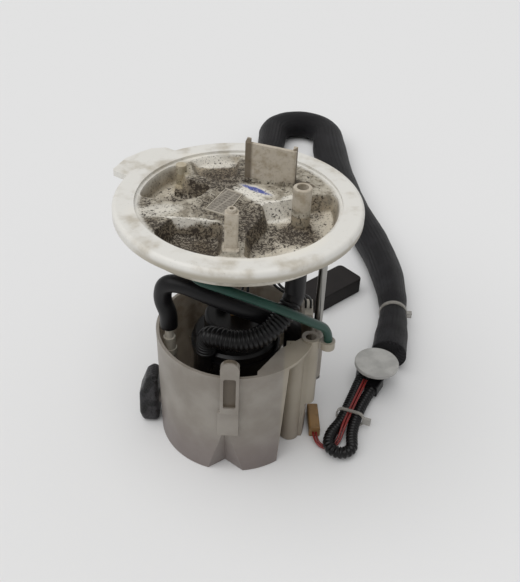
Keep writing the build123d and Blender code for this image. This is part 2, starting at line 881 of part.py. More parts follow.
def lid_plug():
    body = Pos(0, socket_centre()) * RectangleRounded(socket_length + 2, socket_width + 3, 1.0)
    plug = shroud_local(prism(body, lid_plug_top - plug_length, lid_plug_top))
    return plug - blade_shape(neck_bottom - 6, lid_plug_top + 1)


save("pump_plug", pump_plug())
save("lid_plug", lid_plug())
plug_bottom = lid_plug_top - plug_length
pump_plug_top = pump_plug_bottom + pump_plug_height


def wire_pair(points):
    pair = []
    for side in (-wire_spread, wire_spread):
        pair.append(tube([(x + side, y, z) for x, y, z in points], wire_radius, 0, "wire"))
    return pair[0] + pair[1]


pump_wire_route = [
    (9.5, 26.5, plug_bottom), (9.5, 26.5, 125), (8.4, 18, 115), (6, 9, 107),
    (4.6, 4, 100.5), (4.6, 4, pump_plug_top),
]
sender_wire_route = [
    (20.6, 24.6, plug_bottom), (20.6, 24.6, 123.5), (19, 19, 110), (21, 15, 97),
    (31, 17.4, 87.5), (40, 22, 84), (43.4, sender_y, 79), (43.4, sender_y, sender_top),
]
save("pump_wires", wire_pair(pump_wire_route))
save("sender_wires", wire_pair(sender_wire_route))


# Level sender
def sender_housing():
    side = RectangleRounded(sender_width, sender_top - sender_bottom, 2.0)
    middle = (sender_top + sender_bottom) / 2
    block = Pos(sender_face, sender_y, middle) * extrude(Plane.YZ * side, sender_thickness)
    window = RectangleRounded(sender_width - 5, card_height + 1, 1.0)
    block -= Pos(sender_front, sender_y, card_middle) * extrude(Plane.YZ * window, -card_thickness)
    pin = extrude(Plane.YZ * Circle(pivot_radius), hub_thickness + 3.6)
    return block + Pos(sender_front - 1, sender_y, pivot_z) * pin


def sender_card():
    plate = RectangleRounded(sender_width - 6, card_height, 0.8)
    return Pos(sender_front, sender_y, card_middle) * extrude(Plane.YZ * plate, -card_thickness)


def arm_hub():
    ring = Circle(hub_radius) - Circle(pivot_radius + running_gap)
    hub = extrude(Plane.YZ * ring, hub_thickness)
    tail = Pos(0, -1.6, -11) * extrude(Plane.YZ * RectangleRounded(5.0, 14.0, 1.5), 1.2)
    tail -= extrude(Plane.YZ * Circle(hub_radius - 1), 10, both=True)
    return Pos(hub_face, sender_y, pivot_z) * (hub + tail)


def float_body():
    block = prism(Rectangle(float_length, float_width), float_clearance,
                  float_clearance + float_thickness)
    block = fillet(block.edges().filter_by(Axis.Z), float_corner)
    block = fillet(block.edges().group_by(Axis.Z)[-1], 1.0)
    hole = Pos(0, 0, float_clearance + float_thickness / 2) * extrude(
        Plane.YZ * Circle(arm_wire + running_gap), float_length, both=True)
    return Pos(float_place[0], float_place[1], 0) * Rot(0, 0, float_angle) * (block - hole)


float_axis = Vector(cos(radians(float_angle)), sin(radians(float_angle)), 0)
float_centre = Vector(float_place[0], float_place[1], float_clearance + float_thickness / 2)
float_end = float_centre - float_axis * (float_length / 2 + 1.2)
arm_tip = float_centre + float_axis * (float_length / 2 + 1.6)
arm_x = hub_face + hub_thickness / 2
arm_start = (arm_x, sender_y + hub_radius - 0.2, pivot_z - 2.6)
arm_elbow = float_end - float_axis * 6
arm_route = [
    arm_start,
    (arm_x, sender_y + hub_radius + 9, pivot_z - 7.5),
    (arm_x - 3.6, arm_elbow.Y - 9, arm_elbow.Z + 4.4),
    (arm_elbow.X, arm_elbow.Y, arm_elbow.Z),
    (arm_tip.X, arm_tip.Y, arm_tip.Z),
]
save("sender_housing", sender_housing())
save("sender_card", sender_card())
save("sender_hub", arm_hub())
save("float_arm", tube(arm_route, arm_wire, 0, "float arm"))
save("float", float_body())


# Suction sock on the pot's left side
def suction_sock():
    # a soft bag, upright against the pot and falling away outwards at its top
    wide, tall = sock_width, sock_height
    side = polygon([(0, 0), (0.85 * wide, 0), (wide, 0.15 * tall), (0.97 * wide, 0.55 * tall),
                    (0.62 * wide, 0.85 * tall), (0, tall)], sock_corner * 0.8)
    bag = extrude(Plane.XZ * side, sock_depth / 2, both=True)
    bag = fillet(bag.edges().group_by(Axis.Y)[0] + bag.edges().group_by(Axis.Y)[-1], sock_seam)
    place = Pos(-pot_foot_radius - strainer_reach, strainer_port_y, sock_floor)
    return place * mirror(bag, Plane.YZ)


save("suction_sock", suction_sock())


# Transfer line: woven sleeve, corrugated line folded back on itself, pick-up foot
sleeve_route = [
    (port_place[0], port_place[1]), (port_place[0], 88), (-22, 136), (-20.5, 188), (-10, 240),
    (5, 290), (15, 336), (17.6, 367), (18, 392.6), (34.4, 409), (57.6, 409), (74, 392.6),
    (73.8, 366), (76, 330), (81.5, 285), (91, 240), (103, 196), (110.6, 158), (112.6, 124),
    (111, 96), (107.6, 75), (103.5, 54),
]
sleeve_points = [(x, y, sleeve_hose_radius) for x, y in sleeve_route]
save("transfer_sleeve", tube(sleeve_points, sleeve_hose_radius, 0, "transfer sleeve"))

line_floor = line_radius + 2 * red_wire_radius + 0.3
sleeve_end = Vector(*sleeve_points[-1])
line_lead = sleeve_end + (sleeve_end - Vector(*sleeve_points[-2])).normalized() * 9.4
line_route = [
    sleeve_points[-1], (line_lead.X, line_lead.Y, line_lead.Z),
    (95.6, 33.6, 8.4), (88.4, 21.4, 6.4), (81.8, 8.2, 5.6),
    (77.2, -5, line_floor), (74.9, -14.6, line_floor), (74.4, -21.8, line_floor),
    (74.4, -27.8, line_floor + 0.001), (70.2, -32, line_floor), (64.2, -32, line_floor + 0.001),
    (60, -27.8, line_floor), (60, -21.8, line_floor + 0.001), (62.2, -15, line_floor),
    (66, -9.4, line_floor), (69.6, -3.4, line_floor), (76.6, 15.2, 5.9),
    (82.4, 30.4, 7.0), (84.2, 34.9, 7.2),
]
save("corrugated_line", tube(line_route, line_radius, 0, "corrugated line"))


# Pick-up foot under its disc
def pickup_foot():
    stem = rod_at(stem_place, stem_radius, 0, pickup_top - pickup_thickness)
    neck = Vector(*line_route[-1])
    ahead = (neck - Vector(*line_route[-2])).normalized()
    port = extrude(Plane(origin=neck, z_dir=ahead) * Circle(line_radius), 6)
    seat = rod_at(pickup_place, pickup_radius - 2.4, pickup_top - pickup_thickness - 1.4,
                  pickup_top - pickup_thickness)
    return stem + port + seat


def pickup_disc():
    disc = rod_at(pickup_place, pickup_radius, pickup_top - pickup_thickness, pickup_top)
    return fillet(disc.edges().group_by(Axis.Z)[-1], 0.8)


save("pickup_foot", pickup_foot())
save("pickup_disc", pickup_disc())


# Square rubber coupler on the corrugated line
def line_coupler():
    a, b = Vector(*line_route[2]), Vector(*line_route[3])
    across = Plane(origin=(a + b) * 0.5, z_dir=b - a)
    block = RectangleRounded(coupler_size, coupler_size, 1.2) - Circle(line_radius + 0.2)
    return extrude(across * block, coupler_length / 2, both=True)


save("line_coupler", line_coupler())


# Cable ties
def sleeve_tie():
    # the band is open underneath, where the sleeve lies on the floor
    before, after = Vector(*sleeve_points[-4]), Vector(*sleeve_points[-3])
    middle = (before + after) * 0.5
    across = Plane(origin=middle, z_dir=after - before, x_dir=(0, 0, 1))
    ring = Circle(sleeve_hose_radius + tie_thickness) - Circle(sleeve_hose_radius)
    band = extrude(across * ring, tie_width / 2, both=True)
    band -= Pos(middle.X, middle.Y, 0) * Box(40, 40, 2 * tie_gap)
    head_x = middle.X + sleeve_hose_radius + tie_thickness + tie_head / 2 - 0.6
    head = Pos(head_x, middle.Y, sleeve_hose_radius) * Box(tie_head, tie_head, tie_head)
    return band + head


save("sleeve_tie", sleeve_tie())


def line_tie():
    # the band goes round both legs of the fold and over the two wires that lie on them
    low = line_floor - line_radius
    high = line_floor + line_radius + 2 * red_wire_radius + 0.6
    centre = Vector(tie_place[0], tie_place[1], (low + high) / 2)
    across = Vector(cos(radians(tie_turn)), sin(radians(tie_turn)), 0)
    plane = Plane(origin=centre, x_dir=across, z_dir=Vector(across.Y, -across.X, 0))
    width = tie_span
    inner = RectangleRounded(width, high - low, line_radius)
    outer = RectangleRounded(width + 2 * tie_thickness, high - low + 2 * tie_thickness,
                             line_radius + tie_thickness)
    band = extrude(plane * (outer - inner), tie_width / 2, both=True)
    head_place = centre + across * (width / 2 + tie_thickness + tie_head / 2 - 0.3)
    head = Pos(head_place.X, head_place.Y, head_place.Z) * Rot(0, 0, tie_turn)
    return band + head * Box(tie_head, tie_head, tie_head)


save("line_tie", line_tie())


# Level sender's plug and the two wires that run back under the fold
level_plug_frame = Pos(level_plug_place[0], level_plug_place[1], level_plug_size[2] / 2) * Rot(
    0, 0, level_plug_turn)


def level_plug():
    width, length, height = level_plug_size
    body = Box(width, length, height)
    return level_plug_frame * fillet(body.edges().filter_by(Axis.Y), 1.2)


save("level_plug", level_plug())


def red_wire(side):
    # both wires follow one route, each shifted sideways in plan by the same amount
    floor = red_wire_radius + 0.02
    half = level_plug_size[1] / 2
    top = line_floor + line_radius + red_wire_radius
    start = (level_plug_frame * Pos(0, -half, 0)).position
    lead = (level_plug_frame * Pos(0, -half - 4.6, 0)).position
    route = [
        start, lead, Vector(54.6, -23, 1.6), Vector(59.4, -24.2, floor),
        Vector(64, -22.2, floor + 0.02), Vector(66.9, -18.9, 3.2), Vector(68.4, -15.6, 6.8),
        Vector(69.9, -11.8, top + 0.1), Vector(71.9, -6.6, top + 0.3),
        Vector(74.8, 1, top + 0.6), Vector(78.2, 9.6, top + 0.9),
        Vector(82, 18.8, top + 1.4), Vector(85.6, 27.4, top + 2.4),
    ]
    shifted = []
    for index, point in enumerate(route):
        ahead = route[min(index + 1, len(route) - 1)] - route[max(index - 1, 0)]
        if index < 2:
            ahead = lead - start
        sideways = Vector(ahead.Y, -ahead.X, 0).normalized()
        place = point + sideways * side
        shifted.append((place.X, place.Y, place.Z))
    return shifted


red_spread = red_wire_radius + 0.15
save("red_wire_left", tube(red_wire(-red_spread), red_wire_radius, 0, "red wire"))
save("red_wire_right", tube(red_wire(red_spread), red_wire_radius, 0, "red wire"))
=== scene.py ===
import math

import bmesh
import bpy
from mathutils import Matrix, Vector, noise


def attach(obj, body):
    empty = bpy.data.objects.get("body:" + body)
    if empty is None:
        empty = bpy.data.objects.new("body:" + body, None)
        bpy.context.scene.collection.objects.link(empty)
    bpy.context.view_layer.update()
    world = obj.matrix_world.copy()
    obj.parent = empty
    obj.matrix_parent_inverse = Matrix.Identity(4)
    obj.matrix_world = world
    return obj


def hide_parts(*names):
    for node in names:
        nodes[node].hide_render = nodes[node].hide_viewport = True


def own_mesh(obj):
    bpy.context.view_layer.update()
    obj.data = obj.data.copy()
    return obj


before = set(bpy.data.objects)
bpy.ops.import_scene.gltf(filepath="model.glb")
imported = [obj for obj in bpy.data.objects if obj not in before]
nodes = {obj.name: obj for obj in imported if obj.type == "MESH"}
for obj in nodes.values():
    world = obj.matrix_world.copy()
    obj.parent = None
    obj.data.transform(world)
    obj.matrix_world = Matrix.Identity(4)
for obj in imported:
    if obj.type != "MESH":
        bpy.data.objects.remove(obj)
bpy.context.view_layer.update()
mm = 0.001


# Camera, fitted to the photograph: degrees, metres, and the lens in millimetres
view = {"pitch": 36.71, "roll": 2.6, "target": (0.01333, 0.0, 0.10187), "distance": 0.4873,
        "lens": 52.58, "nearest": 0.01}


def makeCamera(settings):
    pitch = math.radians(settings["pitch"])
    roll = math.radians(settings["roll"])
    forward = Vector((0, math.cos(pitch), -math.sin(pitch)))
    flat = Vector((1, 0, 0))
    down = Vector((0, -math.sin(pitch), -math.cos(pitch)))
    right = flat * math.cos(roll) - down * math.sin(roll)
    up = -(flat * math.sin(roll) + down * math.cos(roll))
    data = bpy.data.cameras.new("camera")
    data.lens = settings["lens"]
    data.clip_start = settings["nearest"]
    camera = bpy.data.objects.new("camera", data)
    camera.matrix_world = Matrix((
        (right.x, up.x, -forward.x, 0), (right.y, up.y, -forward.y, 0),
        (right.z, up.z, -forward.z, 0), (0, 0, 0, 1)))
    camera.location = Vector(settings["target"]) - forward * settings["distance"]
    bpy.context.scene.collection.objects.link(camera)
    bpy.context.scene.camera = camera


makeCamera(view)
print("camera set")


# Helpers for shapes
def addObject(name, data):
    thing = bpy.data.objects.new(name, data)
    bpy.context.scene.collection.objects.link(thing)
    return thing


def makeObject(name, verts, faces, smooth=True):
    mesh = bpy.data.meshes.new(name)
    mesh.from_pydata(verts, [], faces)
    mesh.update()
    if smooth:
        mesh.polygons.foreach_set("use_smooth", [True] * len(mesh.polygons))
    return addObject(name, mesh)


def copyNode(node, name):
    thing = addObject(name, nodes[node].data.copy())
    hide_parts(node)
    return thing


def centreline(name, points, resolution=24):
    # a NURBS line through the cord's route, read back as points
    curve = bpy.data.curves.new(name + " route", "CURVE")
    curve.dimensions = "3D"
    curve.resolution_u = resolution
    spline = curve.splines.new("NURBS")
    spline.points.add(len(points) - 1)
    for point, place in zip(spline.points, points):
        point.co = (*[value * mm for value in place], 1)
    spline.order_u = 3
    spline.use_endpoint_u = True
    holder = addObject(name + " route", curve)
    line = bpy.data.meshes.new_from_object(holder)
    places = [vertex.co.copy() for vertex in line.vertices]
    bpy.data.objects.remove(holder)
    bpy.data.meshes.remove(line)
    return places


def resample(path, step):
    # the same line in even steps, and its length
    lengths = [0.0]
    for a, b in zip(path, path[1:]):
        lengths.append(lengths[-1] + (b - a).length)
    count = max(2, round(lengths[-1] / step))
    even, index = [], 0
    for number in range(count + 1):
        target = lengths[-1] * number / count
        while index < len(path) - 2 and lengths[index + 1] < target:
            index += 1
        span = max(lengths[index + 1] - lengths[index], 1e-9)
        even.append(path[index].lerp(path[index + 1], (target - lengths[index]) / span))
    return even, lengths[-1]


def between(table, share):
    # eases from one row of the table to the next
    for (a, low), (b, high) in zip(table, table[1:]):
        if share <= b:
            t = (share - a) / (b - a)
            t = t * t * (3 - 2 * t)
            return low + (high - low) * t
    return table[-1][1]


def pathFrames(path, level):
    # side and top directions at each point; level keeps the side flat, as on a floor
    frames, side = [], None
    for index in range(len(path)):
        ahead = path[min(index + 1, len(path) - 1)] - path[max(index - 1, 0)]
        ahead.normalize()
        if level:
            side = ahead.cross(Vector((0, 0, 1))).normalized()
        elif side is None:
            # any direction well away from the line's own gives the first side
            helper = Vector((0, 0, 1)) if abs(ahead.z) < 0.8 else Vector((1, 0, 0))
            side = ahead.cross(helper).normalized()
        else:
            side = (side - ahead * side.dot(ahead)).normalized()
        frames.append((side, side.cross(ahead).normalized()))
    return frames


def tubeAlong(name, path, section, sides=24, level=False):
    # section(share, metres, angle) gives the sideways and upward reach of one point of the skin
    verts, faces, marks = [], [], []
    run = 0.0
    for index, (point, (side, top)) in enumerate(zip(path, pathFrames(path, level))):
        if index:
            run += (point - path[index - 1]).length
        share = index / (len(path) - 1)
        for corner in range(sides):
            across, up = section(share, run, 2 * math.pi * corner / sides)
            verts.append(point + side * across + top * up)
            marks.append((corner / sides, run))
    rings = len(path)
    for ring in range(rings - 1):
        for corner in range(sides):
            a = ring * sides + corner
            b = ring * sides + (corner + 1) % sides
            faces.append((a, b, b + sides, a + sides))
    faces.append(tuple(reversed(range(sides))))
    faces.append(tuple((rings - 1) * sides + corner for corner in range(sides)))
    thing = makeObject(name, verts, faces)
    layer = thing.data.uv_layers.new(name="UVMap")
    for face in thing.data.polygons:
        # the face that closes the ring runs on to 1 instead of back to 0
        seam = max(marks[thing.data.loops[k].vertex_index][0] for k in face.loop_indices) > 0.9
        for k in face.loop_indices:
            u, v = marks[thing.data.loops[k].vertex_index]
            layer.data[k].uv = (1.0 if seam and u == 0 else u, v)
    return thing


def roundSection(radius):
    def section(share, run, angle):
        return math.cos(angle) * radius, math.sin(angle) * radius
    return section


# Helpers for materials
def colour(text):
    # sRGB hex to linear
    linear = []
    for k in (1, 3, 5):
        value = int(text[k:k + 2], 16) / 255
        linear.append(value / 12.92 if value <= 0.04045 else ((value + 0.055) / 1.055) ** 2.4)
    return (*linear, 1.0)


def dimmed(text, share):
    return (*[value * share for value in colour(text)[:3]], 1.0)


def addNode(tree, kind, settings=None, inputs=None):
    # settings are the node's own; inputs are values, or sockets of other nodes to link
    node = tree.nodes.new(kind)
    for key, value in (settings or {}).items():
        setattr(node, key, value)
    for key, value in (inputs or {}).items():
        if isinstance(value, bpy.types.NodeSocket):
            tree.links.new(value, node.inputs[key])
        else:
            node.inputs[key].default_value = value
    return node


def combine(tree, operation, *values):
    # any number of values joined by one operation, from the first to the last
    total = values[0]
    for value in values[1:]:
        total = addNode(tree, "ShaderNodeMath", {"operation": operation},
                        {0: total, 1: value}).outputs[0]
    return total


def grains(tree, place, *sizes):
    # noises whose blobs are about so many millimetres across; then detail, roughness and warp
    noises = []
    for size, detail, rough, warp in sizes:
        noises.append(addNode(tree, "ShaderNodeTexNoise", inputs={
            "Scale": 1 / (size * mm), "Detail": detail, "Roughness": rough, "Distortion": warp,
            "Vector": place}).outputs[0])
    return noises


def maskOf(tree, value, levels, *others, shares=(0.0, 1.0), unit=1.0):
    # grows between two levels of a value, and holds only as far as the other masks do
    mask = addNode(tree, "ShaderNodeMapRange", {"interpolation_type": "SMOOTHSTEP"}, {
        0: value, 1: levels[0] * unit, 2: levels[1] * unit, 3: shares[0], 4: shares[1]})
    return combine(tree, "MULTIPLY", mask.outputs[0], *others)


def layered(tree, tint, *layers):
    # colours laid over each other, each where its mask holds
    for mask, over in layers:
        tint = addNode(tree, "ShaderNodeMix", {"data_type": "RGBA"},
                       {0: mask, 6: tint, 7: over}).outputs[2]
    return tint


def newMaterial(name, inputs):
    # also gives its main shader and the place of a point on the piece
    material = bpy.data.materials.new(name)
    material.use_nodes = True
    tree = material.node_tree
    tree.nodes.clear()
    shader = addNode(tree, "ShaderNodeBsdfPrincipled", inputs=inputs)
    addNode(tree, "ShaderNodeOutputMaterial", inputs={"Surface": shader.outputs[0]})
    place = addNode(tree, "ShaderNodeTexCoord").outputs["Object"]
    return material, tree, shader, place


def planRadius(tree, axes):
    flat = addNode(tree, "ShaderNodeCombineXYZ", inputs={0: axes[0], 1: axes[1]})
    return addNode(tree, "ShaderNodeVectorMath", {"operation": "LENGTH"},
                   {0: flat.outputs[0]}).outputs["Value"]


def dress(tree, shader, tint, height=None, relief=None):
    # relief is the strength and the depth in millimetres that a height gives the skin
    tree.links.new(tint, shader.inputs["Base Color"])
    if relief:
        skin = addNode(tree, "ShaderNodeBump", inputs={
            "Strength": relief[0], "Distance": relief[1] * mm, "Height": height})
        tree.links.new(skin.outputs[0], shader.inputs["Normal"])


def paint(thing, material):
    thing.data.materials.clear()
    thing.data.materials.append(material)


# What every plain skin shares: the clouds of its mottle, the depth of its texture, and how
# strongly a plain or a dull one shines
plainSkin = {"clouds": (9.0, 3.0, 0.55, 0.0), "cloudLevels": (0.35, 0.7),
             "texture": (2.0, 0.55, 0.0), "depth": 0.1, "shine": 0.5, "dullShine": 0.28,
             "coatRough": 0.25}


def simplePlastic(name, base, rough=0.45, size=0.35, strength=0.15, mottle=0.12, coat=0.0,
                  metal=0.0, clear=0.0, dull=False):
    # moulded skin: a faint mottle of the colour and a fine texture from the tool
    material, tree, shader, place = newMaterial(
        name, {"Roughness": rough, "Metallic": metal, "Coat Weight": coat,
               "Coat Roughness": plainSkin["coatRough"], "Alpha": 1 - clear,
               "Specular IOR Level": plainSkin["dullShine" if dull else "shine"]})
    clouds, texture = grains(tree, place, plainSkin["clouds"], (size, *plainSkin["texture"]))
    mottled = maskOf(tree, clouds, plainSkin["cloudLevels"])
    tint = layered(tree, colour(base), (mottled, dimmed(base, 1 - mottle * 2)))
    dress(tree, shader, tint, texture, (strength, plainSkin["depth"]))
    return material


# Geometry Nodes: a ribbed hose along a centreline, whose radius falls into a groove once a pitch
stepsPerRib = 8


def ribbedHoseTree(sharpness=1.6):
    # a sharpness above 1 makes the grooves narrower than the ribs
    tree = bpy.data.node_groups.new("ribbed hose along a path", "GeometryNodeTree")
    tree.interface.new_socket("Geometry", in_out="INPUT", socket_type="NodeSocketGeometry")
    for label in ("Radius", "Rib depth", "Pitch", "Step"):
        tree.interface.new_socket(label, in_out="INPUT", socket_type="NodeSocketFloat")
    tree.interface.new_socket("Sides", in_out="INPUT", socket_type="NodeSocketInt")
    tree.interface.new_socket("Material", in_out="INPUT", socket_type="NodeSocketMaterial")
    tree.interface.new_socket("Geometry", in_out="OUTPUT", socket_type="NodeSocketGeometry")
    given = addNode(tree, "NodeGroupInput").outputs
    path = addNode(tree, "GeometryNodeMeshToCurve", inputs={"Mesh": given["Geometry"]}).outputs[0]
    path = addNode(tree, "GeometryNodeResampleCurve", {"mode": "LENGTH"},
                   {"Curve": path, "Length": given["Step"]}).outputs[0]
    run = addNode(tree, "GeometryNodeSplineParameter").outputs["Length"]
    turns = combine(tree, "MULTIPLY", combine(tree, "DIVIDE", run, given["Pitch"]), 2 * math.pi)
    wave = addNode(tree, "ShaderNodeMath", {"operation": "COSINE"}, {0: turns}).outputs[0]
    wave = combine(tree, "ADD", combine(tree, "MULTIPLY", wave, 0.5), 0.5)
    groove = combine(tree, "MULTIPLY", combine(tree, "POWER", wave, sharpness),
                     given["Rib depth"])
    reach = combine(tree, "SUBTRACT", given["Radius"], groove)
    ring = addNode(tree, "GeometryNodeCurvePrimitiveCircle", inputs={
        "Radius": 1.0, "Resolution": given["Sides"]}).outputs[0]
    skin = addNode(tree, "GeometryNodeCurveToMesh", inputs={
        "Curve": path, "Profile Curve": ring, "Scale": reach, "Fill Caps": True}).outputs[0]
    skin = addNode(tree, "GeometryNodeRealizeInstances", inputs={"Geometry": skin}).outputs[0]
    skin = addNode(tree, "GeometryNodeSetMaterial", inputs={
        "Geometry": skin, "Material": given["Material"]}).outputs[0]
    addNode(tree, "NodeGroupOutput", inputs={"Geometry": skin})
    return tree


hoseTree = ribbedHoseTree()


def ribbedHose(name, path, sizes, sides, material):
    line = bpy.data.meshes.new(name + " path")
    line.from_pydata(path, [(k, k + 1) for k in range(len(path) - 1)], [])
    carrier = addObject(name + " path", line)
    modifier = carrier.modifiers.new("ribs", "NODES")
    modifier.node_group = hoseTree
    values = {"Radius": sizes["radius"] * mm, "Rib depth": sizes["ribDepth"] * mm,
              "Pitch": sizes["pitch"] * mm, "Step": sizes["pitch"] * mm / stepsPerRib,
              "Sides": sides, "Material": material}
    for socket in hoseTree.interface.items_tree:
        if socket.in_out == "INPUT" and socket.name in values:
            modifier[socket.identifier] = values[socket.name]
    done = carrier.evaluated_get(bpy.context.evaluated_depsgraph_get())
    mesh = bpy.data.meshes.new_from_object(done)
    bpy.data.objects.remove(carrier)
    # the caps share the skin's points, and every face looks out
    form = bmesh.new()
    form.from_mesh(mesh)
    bmesh.ops.remove_doubles(form, verts=form.verts, dist=1e-6)
    bmesh.ops.recalc_face_normals(form, faces=form.faces)
    form.to_mesh(mesh)
    form.free()
    mesh.name = name
    mesh.polygons.foreach_set("use_smooth", [True] * len(mesh.polygons))
    return addObject(name, mesh)


# Floor, light and background
light = {"floor": "#E0E0E0", "ground": 0.78, "sky": 0.47, "sun": 1.75, "sunAngle": 70.0,
         "sunFrom": (-0.35, -0.30, 1.0), "half": 4.0, "below": 0.0003}


def makeStage(settings):
    scene = bpy.context.scene
    scene.view_settings.view_transform = "Standard"
    world = bpy.data.worlds.new("studio")
    world.use_nodes = True
    tree = world.node_tree
    tree.nodes.clear()
    path = addNode(tree, "ShaderNodeLightPath")
    seen = addNode(tree, "ShaderNodeBackground", inputs={
        "Color": colour(settings["floor"]), "Strength": 1.0})
    lit = addNode(tree, "ShaderNodeBackground", inputs={
        "Color": (1, 1, 1, 1), "Strength": settings["sky"]})
    mixed = addNode(tree, "ShaderNodeMixShader", inputs={
        0: path.outputs["Is Camera Ray"], 1: lit.outputs[0], 2: seen.outputs[0]})
    addNode(tree, "ShaderNodeOutputWorld", inputs={"Surface": mixed.outputs[0]})
    scene.world = world
    sunData = bpy.data.lights.new("soft sun", "SUN")
    sunData.energy = settings["sun"]
    sunData.angle = math.radians(settings["sunAngle"])
    sun = addObject("soft sun", sunData)
    sun.rotation_euler = Vector(settings["sunFrom"]).to_track_quat("Z", "Y").to_euler()
    half, low = settings["half"], -settings["below"]
    corners = [(-half, -half, low), (half, -half, low), (half, half, low), (-half, half, low)]
    floor = makeObject("floor", corners, [(0, 1, 2, 3)], False)
    ground = (settings["ground"],) * 3 + (1.0,)
    paint(floor, newMaterial("matt paper floor", {"Roughness": 0.9, "Base Color": ground})[0])


makeStage(light)
print("stage set")


# Free cords: their routes repeat the CAD's, in millimetres
sleeve = {
    "route": [(-16, 54), (-16, 88), (-22, 136), (-20.5, 188), (-10, 240), (5, 290), (15, 336),
              (17.6, 367), (18, 392.6), (34.4, 409), (57.6, 409), (74, 392.6), (73.8, 366),
              (76, 330), (81.5, 285), (91, 240), (103, 196), (110.6, 158), (112.6, 124),
              (111, 96), (107.6, 75), (103.5, 54)],
    "height": 12.0, "underside": 11.6, "step": 1.6, "sides": 40,
    "length": 0.7513, "diameter": 0.024,
    # half width, and how much wider its inner side is, at shares of the length
    "widths": [(0.0, 11.6), (0.3, 12.2), (0.46, 12.6), (0.55, 14.6), (0.6, 15.9), (0.68, 15.4),
               (0.78, 14.0), (0.86, 12.4), (0.915, 10.6), (0.935, 9.3), (0.955, 10.6),
               (0.975, 11.8), (1.0, 12.0)],
    "inner": [(0.0, 1.0), (0.38, 1.0), (0.46, 1.2), (0.52, 1.12), (0.58, 1.0), (1.0, 1.0)],
    # folds and finer creases: how close round it and along it, where they start, how deep
    "folds": [(1.1, 16, 0, 0.07), (2.3, 70, 9, 0.03)],
}


def sleeveSection(share, run, angle):
    # soft folds run along the sleeve, and the floor flattens its underside
    half = between(sleeve["widths"], share) * mm
    flat = min(1.0, sleeve["height"] * mm / half)
    swell = 1
    for close, along, start, depth in sleeve["folds"]:
        swell += depth * noise.noise(Vector((
            math.cos(angle) * close, math.sin(angle) * close, run * along + start)))
    across = math.cos(angle) * half * swell
    if across > 0:
        across *= between(sleeve["inner"], share)
    up = math.sin(angle) * half * flat * swell
    return across, max(up, -sleeve["underside"] * mm)


sleevePath = centreline("transfer sleeve", [(x, y, sleeve["height"]) for x, y in sleeve["route"]])
sleeveEven, sleeveLength = resample(sleevePath, sleeve["step"] * mm)
sleevePiece = tubeAlong("woven_sleeve", sleeveEven, sleeveSection, sleeve["sides"], True)
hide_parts("transfer_sleeve")
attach(sleevePiece, "reservoir")
print("sleeve", round(sleeveLength, 4))

# ribbed polyamide: black, with a narrow gleam on each rib
blackNylon = simplePlastic("corrugated polyamide", "#0F0E0F", rough=0.3, size=0.5, strength=0.1,
                           dull=True)

line = {
    "route": [(103.5, 54, 12), (101.7, 44.775, 12), (95.6, 33.6, 8.4), (88.4, 21.4, 6.4),
              (81.8, 8.2, 5.6), (77.2, -5, 5.4), (74.9, -14.6, 5.4), (74.4, -21.8, 5.4),
              (74.4, -27.8, 5.401), (70.2, -32, 5.4), (64.2, -32, 5.401), (60, -27.8, 5.4),
              (60, -21.8, 5.401), (62.2, -15, 5.4), (66, -9.4, 5.4), (69.6, -3.4, 5.4),
              (76.6, 15.2, 5.9), (82.4, 30.4, 7.0), (84.2, 34.9, 7.2)],
    "radius": 3.75, "ribDepth": 0.75, "pitch": 2.4, "sides": 20,
    "length": 0.1732, "diameter": 0.0072,
}
linePath = centreline("corrugated line", line["route"])
lineEven, lineLength = resample(linePath, line["pitch"] * mm / stepsPerRib)
linePiece = ribbedHose("ribbed_line", linePath, line, line["sides"], blackNylon)
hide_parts("corrugated_line")
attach(linePiece, "reservoir")

redWires = {
    "radius": 0.75, "spread": 0.9, "plug": (51.0, -3.0, 3.5), "plugTurn": 3.0,
    "exits": (11.0, 15.6), "step": 0.5, "sides": 10,
    # over the floor, then up over the folded line
    "route": [(54.6, -23, 1.6), (59.4, -24.2, 0.77), (64, -22.2, 0.79), (66.9, -18.9, 3.2),
              (68.4, -15.6, 6.8), (69.9, -11.8, 9.85), (71.9, -6.6, 10.05), (74.8, 1, 10.35),
              (78.2, 9.6, 10.65), (82, 18.8, 11.15), (85.6, 27.4, 12.15)],
}


def redRoute(side):
    # the two wires keep side by side, and leave the plug straight
    turn = math.radians(redWires["plugTurn"])
    x, y, z = redWires["plug"]
    route = [Vector((x + math.sin(turn) * reach, y - math.cos(turn) * reach, z))
             for reach in redWires["exits"]]
    straight = len(route)
    route += [Vector(point) for point in redWires["route"]]
    shifted = []
    for index, point in enumerate(route):
        way = route[min(index + 1, len(route) - 1)] - route[max(index - 1, 0)]
        if index < straight:
            way = route[1] - route[0]
        sideways = Vector((way.y, -way.x, 0)).normalized()
        shifted.append(tuple(point + sideways * side))
    return shifted


wirePieces = []
for name, side in (("left", -redWires["spread"]), ("right", redWires["spread"])):
    path, length = resample(centreline("wire " + name, redRoute(side)), redWires["step"] * mm)
    piece = tubeAlong("signal_wire_" + name, path, roundSection(redWires["radius"] * mm),
                      redWires["sides"])
    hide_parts("red_wire_" + name)
    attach(piece, "reservoir")
    wirePieces.append((piece, path, length))
print("cords", round(lineLength, 4), [round(item[2], 4) for item in wirePieces])


# Cable tie round the drawn-in sleeve, with its head on the outer side
sleeveTie = {"share": 0.9365, "width": 1.4, "thickness": 0.6, "slack": 1.03, "step": 0.4,
             "edgeShare": 0.2, "edgeRise": 8, "headAlong": (-1.7, 1.7), "headOut": (0.0, 4.0),
             "headUp": (-2.2, 1.8)}


